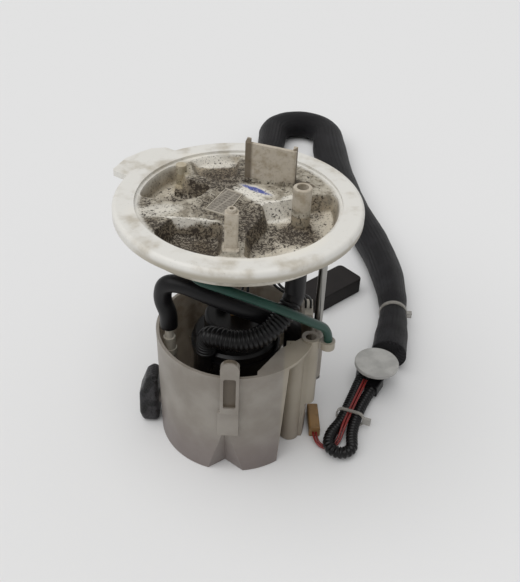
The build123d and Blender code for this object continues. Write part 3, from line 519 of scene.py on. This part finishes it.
def makeSleeveTie(settings):
    index = round(settings["share"] * (len(sleeveEven) - 1))
    half = round(settings["width"] * mm / 2 / (sleeveLength / (len(sleeveEven) - 1))) + 1
    path = resample(sleeveEven[index - half:index + half + 1], settings["step"] * mm)[0]
    inner = between(sleeve["widths"], settings["share"]) * mm * settings["slack"]
    outer = inner + settings["thickness"] * mm

    def section(share, run, angle):
        # the band is thinner at its two edges
        edge = min(share, 1 - share) * settings["edgeRise"]
        reach = inner + (outer - inner) * min(1.0, settings["edgeShare"] + edge)
        return math.cos(angle) * reach, math.sin(angle) * reach
    band = tubeAlong("tie_band", path, section, sleeve["sides"], True)
    middle = path[len(path) // 2]
    side, top = pathFrames(path, True)[len(path) // 2]
    ahead = (path[-1] - path[0]).normalized()
    # the head is a plain box, joined to the band's mesh
    verts = [tuple(vertex.co) for vertex in band.data.vertices]
    faces = [tuple(face.vertices) for face in band.data.polygons]
    start = len(verts)
    for along in settings["headAlong"]:
        for out in settings["headOut"]:
            for up in settings["headUp"]:
                verts.append(middle + ahead * along * mm - side * (inner + out * mm)
                             + top * up * mm)
    boxFaces = [(2, 3, 1, 0), (5, 7, 6, 4), (1, 5, 4, 0), (6, 7, 3, 2), (4, 6, 2, 0), (3, 7, 5, 1)]
    faces += [tuple(start + corner for corner in face) for face in boxFaces]
    bpy.data.objects.remove(band)
    tie = makeObject("tie_on_sleeve", verts, faces, False)
    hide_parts("sleeve_tie")
    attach(tie, "reservoir")
    return tie


tiePiece = makeSleeveTie(sleeveTie)


# Ribbed hose from the filter to the outlet, and copies of other pieces, held to the reservoir
supply = {
    "route": [(-16.5, -17.8, 70), (-16.5, -17.8, 81), (-10.5, -24.5, 86.5), (3, -28.8, 86.5),
              (17, -26.3, 90.5), (27.4, -17.8, 97.5), (31, -11.8, 104)],
    "radius": 6.3, "ribDepth": 0.8, "pitch": 2.4, "sides": 28,
}
supplyPath = resample(centreline("supply hose", supply["route"]),
                      supply["pitch"] * mm / stepsPerRib)[0]
supplyPiece = ribbedHose("ribbed_hose", supplyPath, supply, supply["sides"], blackNylon)
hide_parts("supply_hose")
springPiece = copyNode("rod_spring", "spring_coil")
cuffPiece = copyNode("outlet_cuff", "rubber_cuff")
drainPiece = copyNode("drain_tube", "green_tube")
pumpWirePiece = copyNode("pump_wires", "wires_to_pump")
senderWirePiece = copyNode("sender_wires", "wires_to_sender")
# each piece with the heights of its foot and its top
for piece, anchor, top in ((springPiece, 76.3, 135.7), (supplyPiece, 70.0, 148.0),
                           (cuffPiece, 70.0, 148.0), (drainPiece, 70.0, 147.6),
                           (pumpWirePiece, 93.0, 136.4), (senderWirePiece, 73.0, 136.4)):
    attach(piece, "reservoir")
    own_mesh(piece)
print("hoses done")


# Bare name plate on the lid's land, a thin tray with a pale edge
namePlate = {"corners": [(-7.8, 13.5), (1.7, 7.7), (-6.5, -15.0), (-17.6, -9.8)], "seat": 160.4,
             "sunk": 0.1, "height": 0.5, "edge": 0.09, "tray": 0.25}


def makeNamePlate(settings):
    corners = settings["corners"]
    middle = [sum(values) / len(corners) for values in zip(*corners)]
    inner = [tuple(a + (b - a) * settings["edge"] for a, b in zip(corner, middle))
             for corner in corners]
    low, high = settings["seat"] - settings["sunk"], settings["seat"] + settings["height"]
    rings = ((corners, low), (corners, high), (inner, high), (inner, high - settings["tray"]))
    verts = [(x * mm, y * mm, z * mm) for ring, z in rings for x, y in ring]
    # the underside, the tray's floor, and the bands between the four rings
    faces = [(0, 1, 2, 3), (15, 14, 13, 12)]
    for start in (0, 4, 8):
        for k in range(4):
            n = (k + 1) % 4
            faces.append((start + k, start + 4 + k, start + 4 + n, start + n))
    plate = makeObject("bare_name_plate", verts, faces, False)
    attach(plate, "flange_lid")
    return plate


platePiece = makeNamePlate(namePlate)


# Tie round the folded line: the CAD's tie, its band made narrower
lineTie = {"centre": (74.4, -1.8), "turn": -19.3, "narrow": 0.5}


def makeLineTie(settings):
    piece = copyNode("line_tie", "tie_on_line")
    turn = math.radians(settings["turn"])
    along = Vector((math.sin(turn), -math.cos(turn), 0))
    centre = Vector((*[value * mm for value in settings["centre"]], 0))
    for vertex in piece.data.vertices:
        reach = (vertex.co - centre).dot(along)
        vertex.co -= along * reach * (1 - settings["narrow"])
    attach(piece, "reservoir")
    return piece


lineTiePiece = makeLineTie(lineTie)
print("plate and ties done")


# Woven sleeve and sock: fine braid of black filaments
# grains give a size in millimetres, detail, roughness and warp
# the braid's low share is painted shade in the grooves between strands
braid = {"around": 26, "pitch": 2.9, "base": "#1B191C", "low": 0.3, "levels": (0.1, 0.9),
         "dust": "#55555A", "dustGrain": (26.0, 4.0, 0.55, 0.0), "dustLevels": (0.48, 0.72),
         "dustShare": 0.16, "rough": 0.5, "shine": 0.3, "relief": (0.9, 0.9)}
# the bag's grey base is painted highlight on the weave, and its low share is painted shade in the
# crumples
bag = {"pitch": 2.2, "base": "#5A595C", "low": 0.12, "levels": (1.9, 2.9),
       "crumpleGrain": (6.0, 2.0, 0.5, 0.6), "crumple": 3.0, "rough": 0.36, "shine": 0.4,
       "relief": (1.0, 1.4)}


def braidHeight(tree, turn, run):
    # two families of strands cross and take turns to lie on top
    waves = []
    for way in (combine(tree, "ADD", turn, run), combine(tree, "SUBTRACT", turn, run), turn):
        angle = combine(tree, "MULTIPLY", way, 2 * math.pi)
        waves.append(addNode(tree, "ShaderNodeMath", {"operation": "SINE"}, {0: angle}).outputs[0])
    over = combine(tree, "GREATER_THAN", waves[2], 0.0)
    strands = []
    for wave, seen in zip(waves, (over, combine(tree, "SUBTRACT", 1.0, over))):
        strand = addNode(tree, "ShaderNodeMath", {"operation": "ABSOLUTE"}, {0: wave}).outputs[0]
        strands.append(combine(tree, "MULTIPLY", strand, seen))
    return combine(tree, "ADD", *strands)


def braidMaterial(name, look):
    # polyester monofilament braid: dark, with a dry sheen on each crossing, painted shade in the
    # grooves between strands, and dust in patches
    material, tree, shader, place = newMaterial(
        name, {"Roughness": look["rough"], "Specular IOR Level": look["shine"]})
    unrolled = addNode(tree, "ShaderNodeUVMap", {"uv_map": "UVMap"}).outputs[0]
    axes = addNode(tree, "ShaderNodeSeparateXYZ", inputs={0: unrolled}).outputs
    height = braidHeight(tree, combine(tree, "MULTIPLY", axes[0], float(look["around"])),
                         combine(tree, "MULTIPLY", axes[1], 1 / (look["pitch"] * mm)))
    dusty = maskOf(tree, grains(tree, place, look["dustGrain"])[0], look["dustLevels"],
                   shares=(0.0, look["dustShare"]))
    # painted shade: darker where the strands dip
    tint = layered(tree, dimmed(look["base"], look["low"]),
                   (maskOf(tree, height, look["levels"]), colour(look["base"])),
                   (dusty, colour(look["dust"])))
    dress(tree, shader, tint, height, look["relief"])
    return material


def meshBagMaterial(name, look):
    # nylon mesh: painted highlight, grey where the weave stands up, and painted shade, near black
    # in the crumples that cross it
    material, tree, shader, place = newMaterial(
        name, {"Roughness": look["rough"], "Specular IOR Level": look["shine"]})
    axes = addNode(tree, "ShaderNodeSeparateXYZ", inputs={0: place}).outputs
    around = combine(tree, "SUBTRACT", axes[1], axes[0])
    weave = braidHeight(tree, *[combine(tree, "MULTIPLY", way, 1 / (look["pitch"] * mm))
                                for way in (around, axes[2])])
    crumple = grains(tree, place, look["crumpleGrain"])[0]
    height = combine(tree, "ADD", weave, combine(tree, "MULTIPLY", crumple, look["crumple"]))
    # painted highlight on the raised weave, painted shade in the crumples
    tint = layered(tree, dimmed(look["base"], look["low"]),
                   (maskOf(tree, height, look["levels"]), colour(look["base"])))
    dress(tree, shader, tint, height, look["relief"])
    return material


paint(sleevePiece, braidMaterial("woven polyester sleeve", braid))


# The lid's look: heights and places in millimetres
lidLook = {
    # each surface's colour, its stained colour, and the noise levels between which stain takes over
    "rim": ("#DEDCD6", "#BBB4A6", 0.45, 0.75), "land": ("#B5AE9F", "#857D6E", 0.38, 0.66),
    "wall": ("#9D917D", "#857D6E", 0.35, 0.65), "pocket": ("#C9C1B1", "#9D917D", 0.45, 0.70),
    "standing": ("#B9B0A1", "#9D917D", 0.40, 0.75),
    # the side colour is painted shade on the lid's outer side below the rim
    "side": "#A59E8F", "column": "#B7AB8C", "sootAndShade": "#544735", "grit": "#24190F",
    "lip": "#E4E0D6", "pen": "#27409A",
    # where each layer fades in, from none to full
    "insideAt": (57.5, 53.5), "edgeWander": 5.0, "sideShadeBelow": (159.8, 156.8),
    "sideShadeFrom": (-57, -34), "sideShadeLeast": 0.15, "wallBelow": (160.0, 159.0),
    "pocketBelow": (153.0, 150.8), "standingAbove": (162.2, 164.0), "grimeBelow": (168.0, 162.5),
    "footBelow": (154.5, 152.5), "penBelow": (161.6, 161.0),
    "grimeShare": 0.62, "penShare": 0.9, "gritShare": 0.9, "rimGritShare": 0.5,
    # noises that wander, cloud, speckle and break the specks, and a coarse one, as in the weave;
    # then the levels between which they turn to pen or grit
    "grains": [(14.0, 4.0, 0.55, 0.0), (5.0, 5.0, 0.55, 0.0), (1.25, 3.0, 0.7, 0.0),
               (0.45, 2.0, 0.6, 0.0)],
    "coarseGrain": (2.4, 2.0, 0.6, 0.0), "broken": 0.5,
    "penLevels": (0.33, 0.43), "gritLevels": (0.61, 0.65), "coarseLevels": (0.645, 0.675),
    "rimGritLevels": (0.69, 0.73), "gritWithGrime": 0.15, "coarseWithGrime": 0.10,
    "standingClean": 0.85, "drift": {"scale": 140.0, "detail": 3.0, "reach": 4.0},
    # roughness of the rim, and how much more the stained part has; then the relief of the skin
    "rough": 0.42, "stainRough": 0.3, "fineRelief": 0.5, "cloudRelief": 2.0,
    "relief": (0.5, 0.35),
    # dirty and clean spots, spots of painted shade, and darker spots on the pocket floors: x, y,
    # half length, half width, turn, strength
    "grimeSpots": [
        (-25, -33, 29, 19, 8, 1.0), (-16, -31, 16, 16, 0, 0.95), (9, -20, 10, 22, -18, 0.9),
        (20, -12, 9, 11, 0, 0.7), (-3, -5, 22, 17, 0, 0.68), (-11, 20, 22, 9, -8, 0.85),
        (2, 21, 8, 8, 0, 0.8), (-46, -24, 12, 17, 25, 0.8), (-9, 33, 18, 13, 0, 0.9),
        (29, 24, 10, 6, -10, 0.7), (-50, -4, 8, 8, 0, 0.6), (42, 8, 8, 6, 20, 0.45),
        (16, -25, 9, 8, 20, 0.8), (20, 32, 9, 6, 0, 0.5), (-24, 10, 14, 7, 15, 0.5),
        (-5, 45, 13, 7, 0, 0.75), (-37, 15, 10, 8, 0, 0.55)],
    "footSpots": [(33, -13, 15, 13, 0, 1.0), (-31.5, 19, 9, 8, 0, 0.8)],
    "cleanSpots": [
        (7, 10.5, 13, 4.5, -42, 0.95), (20, 1.5, 11, 4.5, 4, 0.95), (29, 7, 8, 4, 45, 0.8),
        (11, 14.8, 13, 5, -33, 0.9), (-17, 49, 20, 5, 4, 0.8), (31, -39, 24, 11, 38, 0.9),
        (0, -53, 22, 3, 0, 0.6), (-23, -17.2, 18, 1.7, -4, 0.8), (-42, -11, 17, 7, 20, 0.55)],
    "penSpots": [(10.9, 15.4, 10.5, 2.1, -33, 1.0)],
    "columnSpots": [(-33.8, 30, 6, 8, 0, 0.35)],
    # painted shade at the shroud's left end, and a painted shadow arc on the land behind the outlet
    "shadeSpots": [(3.2, 23.0, 3.3, 6, -10, 0.8)],
    "crescentShadeSpots": [(29.6, 20.6, 3.2, 1.5, 55, 0.85), (34.6, 23.6, 5, 1.5, 2, 0.85),
                      (39.4, 20.8, 3.2, 1.5, -55, 0.8)],
    # a spot starts and is full at these shares of its half sizes from its middle
    "spotEdge": (1.1, 0.55), "spotHeight": 160.0,
}


def spots(tree, place, look, kind, *others):
    # soft ellipses in plan, the strongest of which counts, as far as the other masks hold
    levels = []
    for x, y, longHalf, shortHalf, turn, strength in look[kind]:
        turned = addNode(tree, "ShaderNodeMapping", {"vector_type": "TEXTURE"}, {
            "Location": (x * mm, y * mm, look["spotHeight"] * mm),
            "Rotation": (0, 0, math.radians(turn)),
            "Scale": (longHalf * mm, shortHalf * mm, 1), "Vector": place}).outputs[0]
        reach = addNode(tree, "ShaderNodeVectorMath", {"operation": "LENGTH"},
                        {0: turned}).outputs["Value"]
        levels.append(maskOf(tree, reach, look["spotEdge"], shares=(0.0, strength)))
    return combine(tree, "MULTIPLY", combine(tree, "MAXIMUM", *levels), *others)


def drifted(tree, place, drift):
    # a place shifted by noise, so that spots get ragged edges
    away = addNode(tree, "ShaderNodeTexNoise", inputs={
        "Scale": drift["scale"], "Detail": drift["detail"], "Vector": place}).outputs[1]
    away = addNode(tree, "ShaderNodeVectorMath", {"operation": "SCALE"},
                   {0: away, "Scale": drift["reach"] * mm}).outputs[0]
    return addNode(tree, "ShaderNodeVectorMath", {"operation": "ADD"},
                   {0: place, 1: away}).outputs[0]


def lidMaterial(look):
    # natural acetal moulded: pale rim, brown fuel stain, and grit settled where fuel stood; painted
    # shade on the outer side below the rim, beside the shroud and behind the outlet
    material, tree, shader, place = newMaterial("natural acetal moulded, stained", {})
    axes = addNode(tree, "ShaderNodeSeparateXYZ", inputs={0: place}).outputs
    height = axes[2]
    wander, cloud, fine, broken = grains(tree, place, *look["grains"])
    moved = drifted(tree, place, look["drift"])

    def stained(level, surface):
        clean, dirty, *levels = look[surface]
        return layered(tree, colour(clean), (maskOf(tree, level, levels), colour(dirty)))

    edge = combine(tree, "ADD", planRadius(tree, axes),
                   combine(tree, "MULTIPLY", wander, look["edgeWander"] * mm))
    inside = maskOf(tree, edge, look["insideAt"], unit=mm)
    outside = combine(tree, "SUBTRACT", 1.0, inside)
    # painted shade on the outer side below the rim: full over most of it, least at the far left,
    # where the light falls
    right = maskOf(tree, axes[0], look["sideShadeFrom"], shares=(look["sideShadeLeast"], 1.0), unit=mm)
    side = maskOf(tree, height, look["sideShadeBelow"], outside, right, unit=mm)
    walls = maskOf(tree, height, look["wallBelow"], inside, unit=mm)
    floors = maskOf(tree, height, look["pocketBelow"], inside, unit=mm)
    standing = maskOf(tree, height, look["standingAbove"], inside, unit=mm)
    # painted shade: at the shroud's left end, and an arc behind the outlet
    shade = combine(tree, "MAXIMUM", spots(tree, place, look, "shadeSpots", standing),
                    spots(tree, place, look, "crescentShadeSpots", inside))
    low = maskOf(tree, height, look["grimeBelow"], unit=mm)
    deep = maskOf(tree, height, look["footBelow"], unit=mm)
    clean = spots(tree, moved, look, "cleanSpots", low)
    grime = combine(tree, "MAXIMUM", spots(tree, moved, look, "grimeSpots", low),
                    spots(tree, moved, look, "footSpots", deep))
    grime = combine(tree, "MULTIPLY", grime, combine(tree, "SUBTRACT", 1.0, clean), inside)
    pen = spots(tree, moved, look, "penSpots", maskOf(tree, fine, look["penLevels"]),
                maskOf(tree, height, look["penBelow"], unit=mm))

    # grit grows denser with the grime, and a few grains lie elsewhere
    broken = combine(tree, "MULTIPLY", combine(tree, "SUBTRACT", broken, 0.5), look["broken"])
    level = combine(tree, "ADD", fine, broken,
                    combine(tree, "MULTIPLY", grime, look["gritWithGrime"]))
    specks = maskOf(tree, level, look["gritLevels"], inside)
    level = combine(tree, "ADD", grains(tree, moved, look["coarseGrain"])[0],
                    combine(tree, "MULTIPLY", grime, look["coarseWithGrime"]))
    coarse = maskOf(tree, level, look["coarseLevels"], inside)
    bare = combine(tree, "MULTIPLY", standing, look["standingClean"])
    specks = combine(tree, "MULTIPLY", combine(tree, "MAXIMUM", specks, coarse),
                     combine(tree, "SUBTRACT", 1.0, bare))
    rimGrit = maskOf(tree, fine, look["rimGritLevels"], look["rimGritShare"])
    specks = combine(tree, "MAXIMUM", specks, rimGrit)

    tint = layered(
        tree, stained(wander, "rim"), (side, colour(look["side"])),
        (inside, stained(cloud, "land")), (walls, stained(cloud, "wall")),
        (floors, stained(wander, "pocket")), (standing, stained(cloud, "standing")),
        (spots(tree, place, look, "columnSpots"), colour(look["column"])),
        # the soot colour paints both the painted shade and the grime
        (shade, colour(look["sootAndShade"])), (clean, colour(look["lip"])),
        (combine(tree, "MULTIPLY", grime, look["grimeShare"]), colour(look["sootAndShade"])),
        (combine(tree, "MULTIPLY", pen, look["penShare"]), colour(look["pen"])),
        (combine(tree, "MULTIPLY", specks, look["gritShare"]), colour(look["grit"])))

    # the stained part is duller and rougher than the rim
    rough = combine(tree, "ADD", look["rough"],
                    combine(tree, "MULTIPLY", inside, look["stainRough"]))
    tree.links.new(rough, shader.inputs["Roughness"])
    crust = combine(tree, "ADD", combine(tree, "MULTIPLY", fine, look["fineRelief"]), specks,
                    combine(tree, "MULTIPLY", cloud, inside, look["cloudRelief"]))
    dress(tree, shader, tint, crust, look["relief"])
    return material


paint(nodes["lid"], lidMaterial(lidLook))

plateLook = {"base": "#5A534A", "ruling": "#A49D91", "dust": "#A39C90", "rough": 0.6,
             "pitch": 2.3, "columnWidth": 2.4, "turn": 31, "lineLevels": (0.80, 0.90),
             "dustGrain": (1.2, 4.0, 0.7, 0.0), "dustLevels": (0.36, 0.58),
             "rulingShare": 0.7, "dustShare": 0.55}


def ruledMaterial(name, look):
    # a dusty dark tray with the pale lines of an empty form, and no words in it
    material, tree, shader, place = newMaterial(name, {"Roughness": look["rough"]})
    turned = addNode(tree, "ShaderNodeMapping", inputs={
        "Rotation": (0, 0, math.radians(look["turn"])), "Vector": place}).outputs[0]
    axes = addNode(tree, "ShaderNodeSeparateXYZ", inputs={0: turned}).outputs
    ruled = []
    for axis, spacing in ((0, look["pitch"] * look["columnWidth"]), (1, look["pitch"])):
        across = combine(tree, "MULTIPLY", axes[axis], 1 / (spacing * mm))
        wave = addNode(tree, "ShaderNodeMath", {"operation": "FRACT"}, {0: across}).outputs[0]
        ruled.append(maskOf(tree, wave, look["lineLevels"]))
    ruled = combine(tree, "MAXIMUM", *ruled)
    dusty = maskOf(tree, grains(tree, place, look["dustGrain"])[0], look["dustLevels"],
                   look["dustShare"])
    tint = layered(tree, colour(look["base"]),
                   (combine(tree, "MULTIPLY", ruled, look["rulingShare"]), colour(look["ruling"])),
                   (dusty, colour(look["dust"])))
    dress(tree, shader, tint)
    return material


# dull acetal: the tray's pale raised edge
paint(platePiece, simplePlastic("acetal plate edge", "#B5AD9E", rough=0.5, size=0.8, strength=0.3))
platePiece.data.materials.append(ruledMaterial("acetal plate, dusty", plateLook))
trayFace = 1
platePiece.data.polygons[trayFace].material_index = 1


# The reservoir's look: heights and places in millimetres
potLook = {
    "wall": "#ACA69E", "wallStain": "#989188", "foot": "#7E7173", "bayOchreAndLight": "#C6BBA2",
    "stain": "#5C4A33", "pane": "#5A4E3E", "glow": "#C9C0B4", "clear": "#E5DDD0",
    "footShare": 0.6, "paneShare": 0.8, "glowShare": 0.22, "clearShare": 0.10, "rough": 0.38,
    # noises that cloud the wall, patch the stain and roughen the skin
    "grains": [(18.0, 4.0, 0.55, 0.0), (7.0, 4.0, 0.55, 0.0), (0.5, 2.0, 0.55, 0.0)],
    "cloudLevels": (0.3, 0.7), "stainLevels": (0.36, 0.6), "relief": (0.12, 0.1),
    # where each tint fades in, from none to full
    "footBelow": (40, 4), "insideAt": (45.6, 44.8), "insideBelow": (74.5, 72.0),
    "insideAbove": (41, 46), "cornerRight": (23.5, 26.5), "cornerFront": (-9.5, -12.5),
    "bayRight": (27.8, 29.8), "bayShare": 0.4, "stainShares": (0.25, 0.85),
    "paneMiddle": -1.0, "paneHalf": (4.0, 3.4), "paneFront": (-48.1, -47.8),
    "paneBack": (-40, -44), "paneAbove": (54.5, 55.2),
}


def potMaterial(look):
    # natural acetal moulded, thin enough to let the dark pieces inside show through a little
    material, tree, shader, place = newMaterial("natural acetal moulded, thin",
                                                {"Roughness": look["rough"]})
    axes = addNode(tree, "ShaderNodeSeparateXYZ", inputs={0: place}).outputs
    x, y, height = axes[0], axes[1], axes[2]
    cloud, patches, skin = grains(tree, place, *look["grains"])
    foot = maskOf(tree, height, look["footBelow"], look["footShare"], unit=mm)

    # stain on the inside of the wall, but not in the cut-away corner, which is painted paler: its
    # own ochre tint, and painted light that lifts the shade falling there
    front = maskOf(tree, y, look["cornerFront"], unit=mm)
    corner = maskOf(tree, x, look["cornerRight"], front, unit=mm)
    # painted light in the corner's bay, with its ochre tint
    bayOchreAndLight = maskOf(tree, x, look["bayRight"], corner, shares=(0.0, look["bayShare"]), unit=mm)
    below = maskOf(tree, height, look["insideBelow"], unit=mm)
    above = maskOf(tree, height, look["insideAbove"], unit=mm)
    inner = maskOf(tree, planRadius(tree, axes), look["insideAt"], below, above,
                   combine(tree, "SUBTRACT", 1.0, corner), unit=mm)
    stain = maskOf(tree, patches, look["stainLevels"], inner, shares=look["stainShares"])

    # the window's pane, dark because the inside shows through it
    aside = combine(tree, "ADD", x, -look["paneMiddle"] * mm)
    aside = addNode(tree, "ShaderNodeMath", {"operation": "ABSOLUTE"}, {0: aside}).outputs[0]
    behind = maskOf(tree, y, look["paneFront"], unit=mm)
    ahead = maskOf(tree, y, look["paneBack"], unit=mm)
    above = maskOf(tree, height, look["paneAbove"], unit=mm)
    pane = maskOf(tree, aside, look["paneHalf"], behind, ahead, above, look["paneShare"], unit=mm)
    tint = layered(
        tree, colour(look["wall"]),
        (maskOf(tree, cloud, look["cloudLevels"]), colour(look["wallStain"])),
        (foot, colour(look["foot"])), (bayOchreAndLight, colour(look["bayOchreAndLight"])), (stain, colour(look["stain"])),
        (pane, colour(look["pane"])))
    dress(tree, shader, tint, skin, look["relief"])

    # part of the light goes into the wall, and a little goes through it
    glow = addNode(tree, "ShaderNodeBsdfTranslucent", inputs={"Color": colour(look["glow"])})
    clear = addNode(tree, "ShaderNodeBsdfTransparent", inputs={"Color": colour(look["clear"])})
    soft = addNode(tree, "ShaderNodeMixShader", inputs={
        0: look["glowShare"], 1: shader.outputs[0], 2: glow.outputs[0]})
    seen = addNode(tree, "ShaderNodeMixShader", inputs={
        0: look["clearShare"], 1: soft.outputs[0], 2: clear.outputs[0]})
    output = tree.get_output_node("ALL")
    tree.links.new(seen.outputs[0], output.inputs["Surface"])
    return material


paint(nodes["reservoir_pot"], potMaterial(potLook))


# Plain pieces, each material with the nodes and pieces that it covers
polished = {"size": 0.4, "mottle": 0.05, "metal": 1.0}
finishes = [
    # the same polyamide as the line: deep black, smooth
    (blackNylon, ["filter_canister", "pump_inlet_cap", "pump_outlet_cap", "pump_impeller",
                  "pickup_foot", linePiece, supplyPiece]),
    # rubber: black with a broad, dull gleam
    (simplePlastic("nitrile rubber hose", "#111012", rough=0.4, size=0.6, strength=0.2, dull=True),
     ["foot_valve", "pump_isolators", "return_hose", "line_coupler", cuffPiece]),
    # thin insulation: black and red with a fine bright line along the wire
    (simplePlastic("wire insulation black", "#1A1A1A", rough=0.3),
     [pumpWirePiece, senderWirePiece]),
    (simplePlastic("wire insulation red", "#7E2320", rough=0.3),
     [wirePieces[0][0], wirePieces[1][0]]),
    # fluoropolymer: a dark green that looks almost black
    (simplePlastic("fluoropolymer tube green", "#1D4238", rough=0.3, size=0.5, strength=0.05,
                   mottle=0.1, dull=True), [drainPiece]),
    # unfilled acetal: off-white, softly shining
    (simplePlastic("natural acetal", "#CFC9BC"),
     ["lid_plug", "jet_pump", "sender_housing", "sender_hub"]),
    # acetal that fuel has greyed: the pale disc at the end of the line
    (simplePlastic("acetal disc", "#B2B1AD", rough=0.4), ["pickup_disc"]),
    # brown connector plastic, mottled by handling
    (simplePlastic("polyamide connector brown", "#8C6C42", rough=0.4, mottle=0.2),
     ["pump_plug", "level_plug"]),
    # closed-cell foam: a matt and slightly pitted black
    (simplePlastic("closed-cell nitrile float", "#1F1B1A", rough=0.65, size=0.5, strength=0.5,
                   dull=True), ["float"]),
    (meshBagMaterial("woven filter bag", bag), ["suction_sock"]),
    # uncoloured nylon: glossy and half clear
    (simplePlastic("nylon tie natural", "#A8A49C", rough=0.3, coat=0.3, clear=0.4),
     [tiePiece, lineTiePiece]),
    # drawn, plated and tinned metal: grey, paler grey and pale yellow, with blurred reflections
    (simplePlastic("drawn steel", "#9A9894", rough=0.28, strength=0.03, **polished),
     ["guide_rod_right", "guide_rod_rear", "guide_rod_clips", "pump_armature", "float_arm",
      springPiece]),
    (simplePlastic("zinc-plated steel", "#B5B2AC", rough=0.35, strength=0.05, **polished),
     ["pump_case", "pressure_regulator"]),
    (simplePlastic("tinned brass", "#BFAE86", rough=0.3, strength=0.03, **polished),
     ["lid_terminals"]),
    # ceramic magnet and card: matt dark grey
    (simplePlastic("ferrite", "#3A393B", rough=0.6), ["pump_magnets", "sender_card"]),
    # fine white mesh, matt
    (simplePlastic("nylon mesh", "#C9C5B8", rough=0.7), ["pump_strainer"]),
]
for material, things in finishes:
    for thing in things:
        paint(nodes[thing] if isinstance(thing, str) else thing, material)
print("materials done")


print("pieces ready")
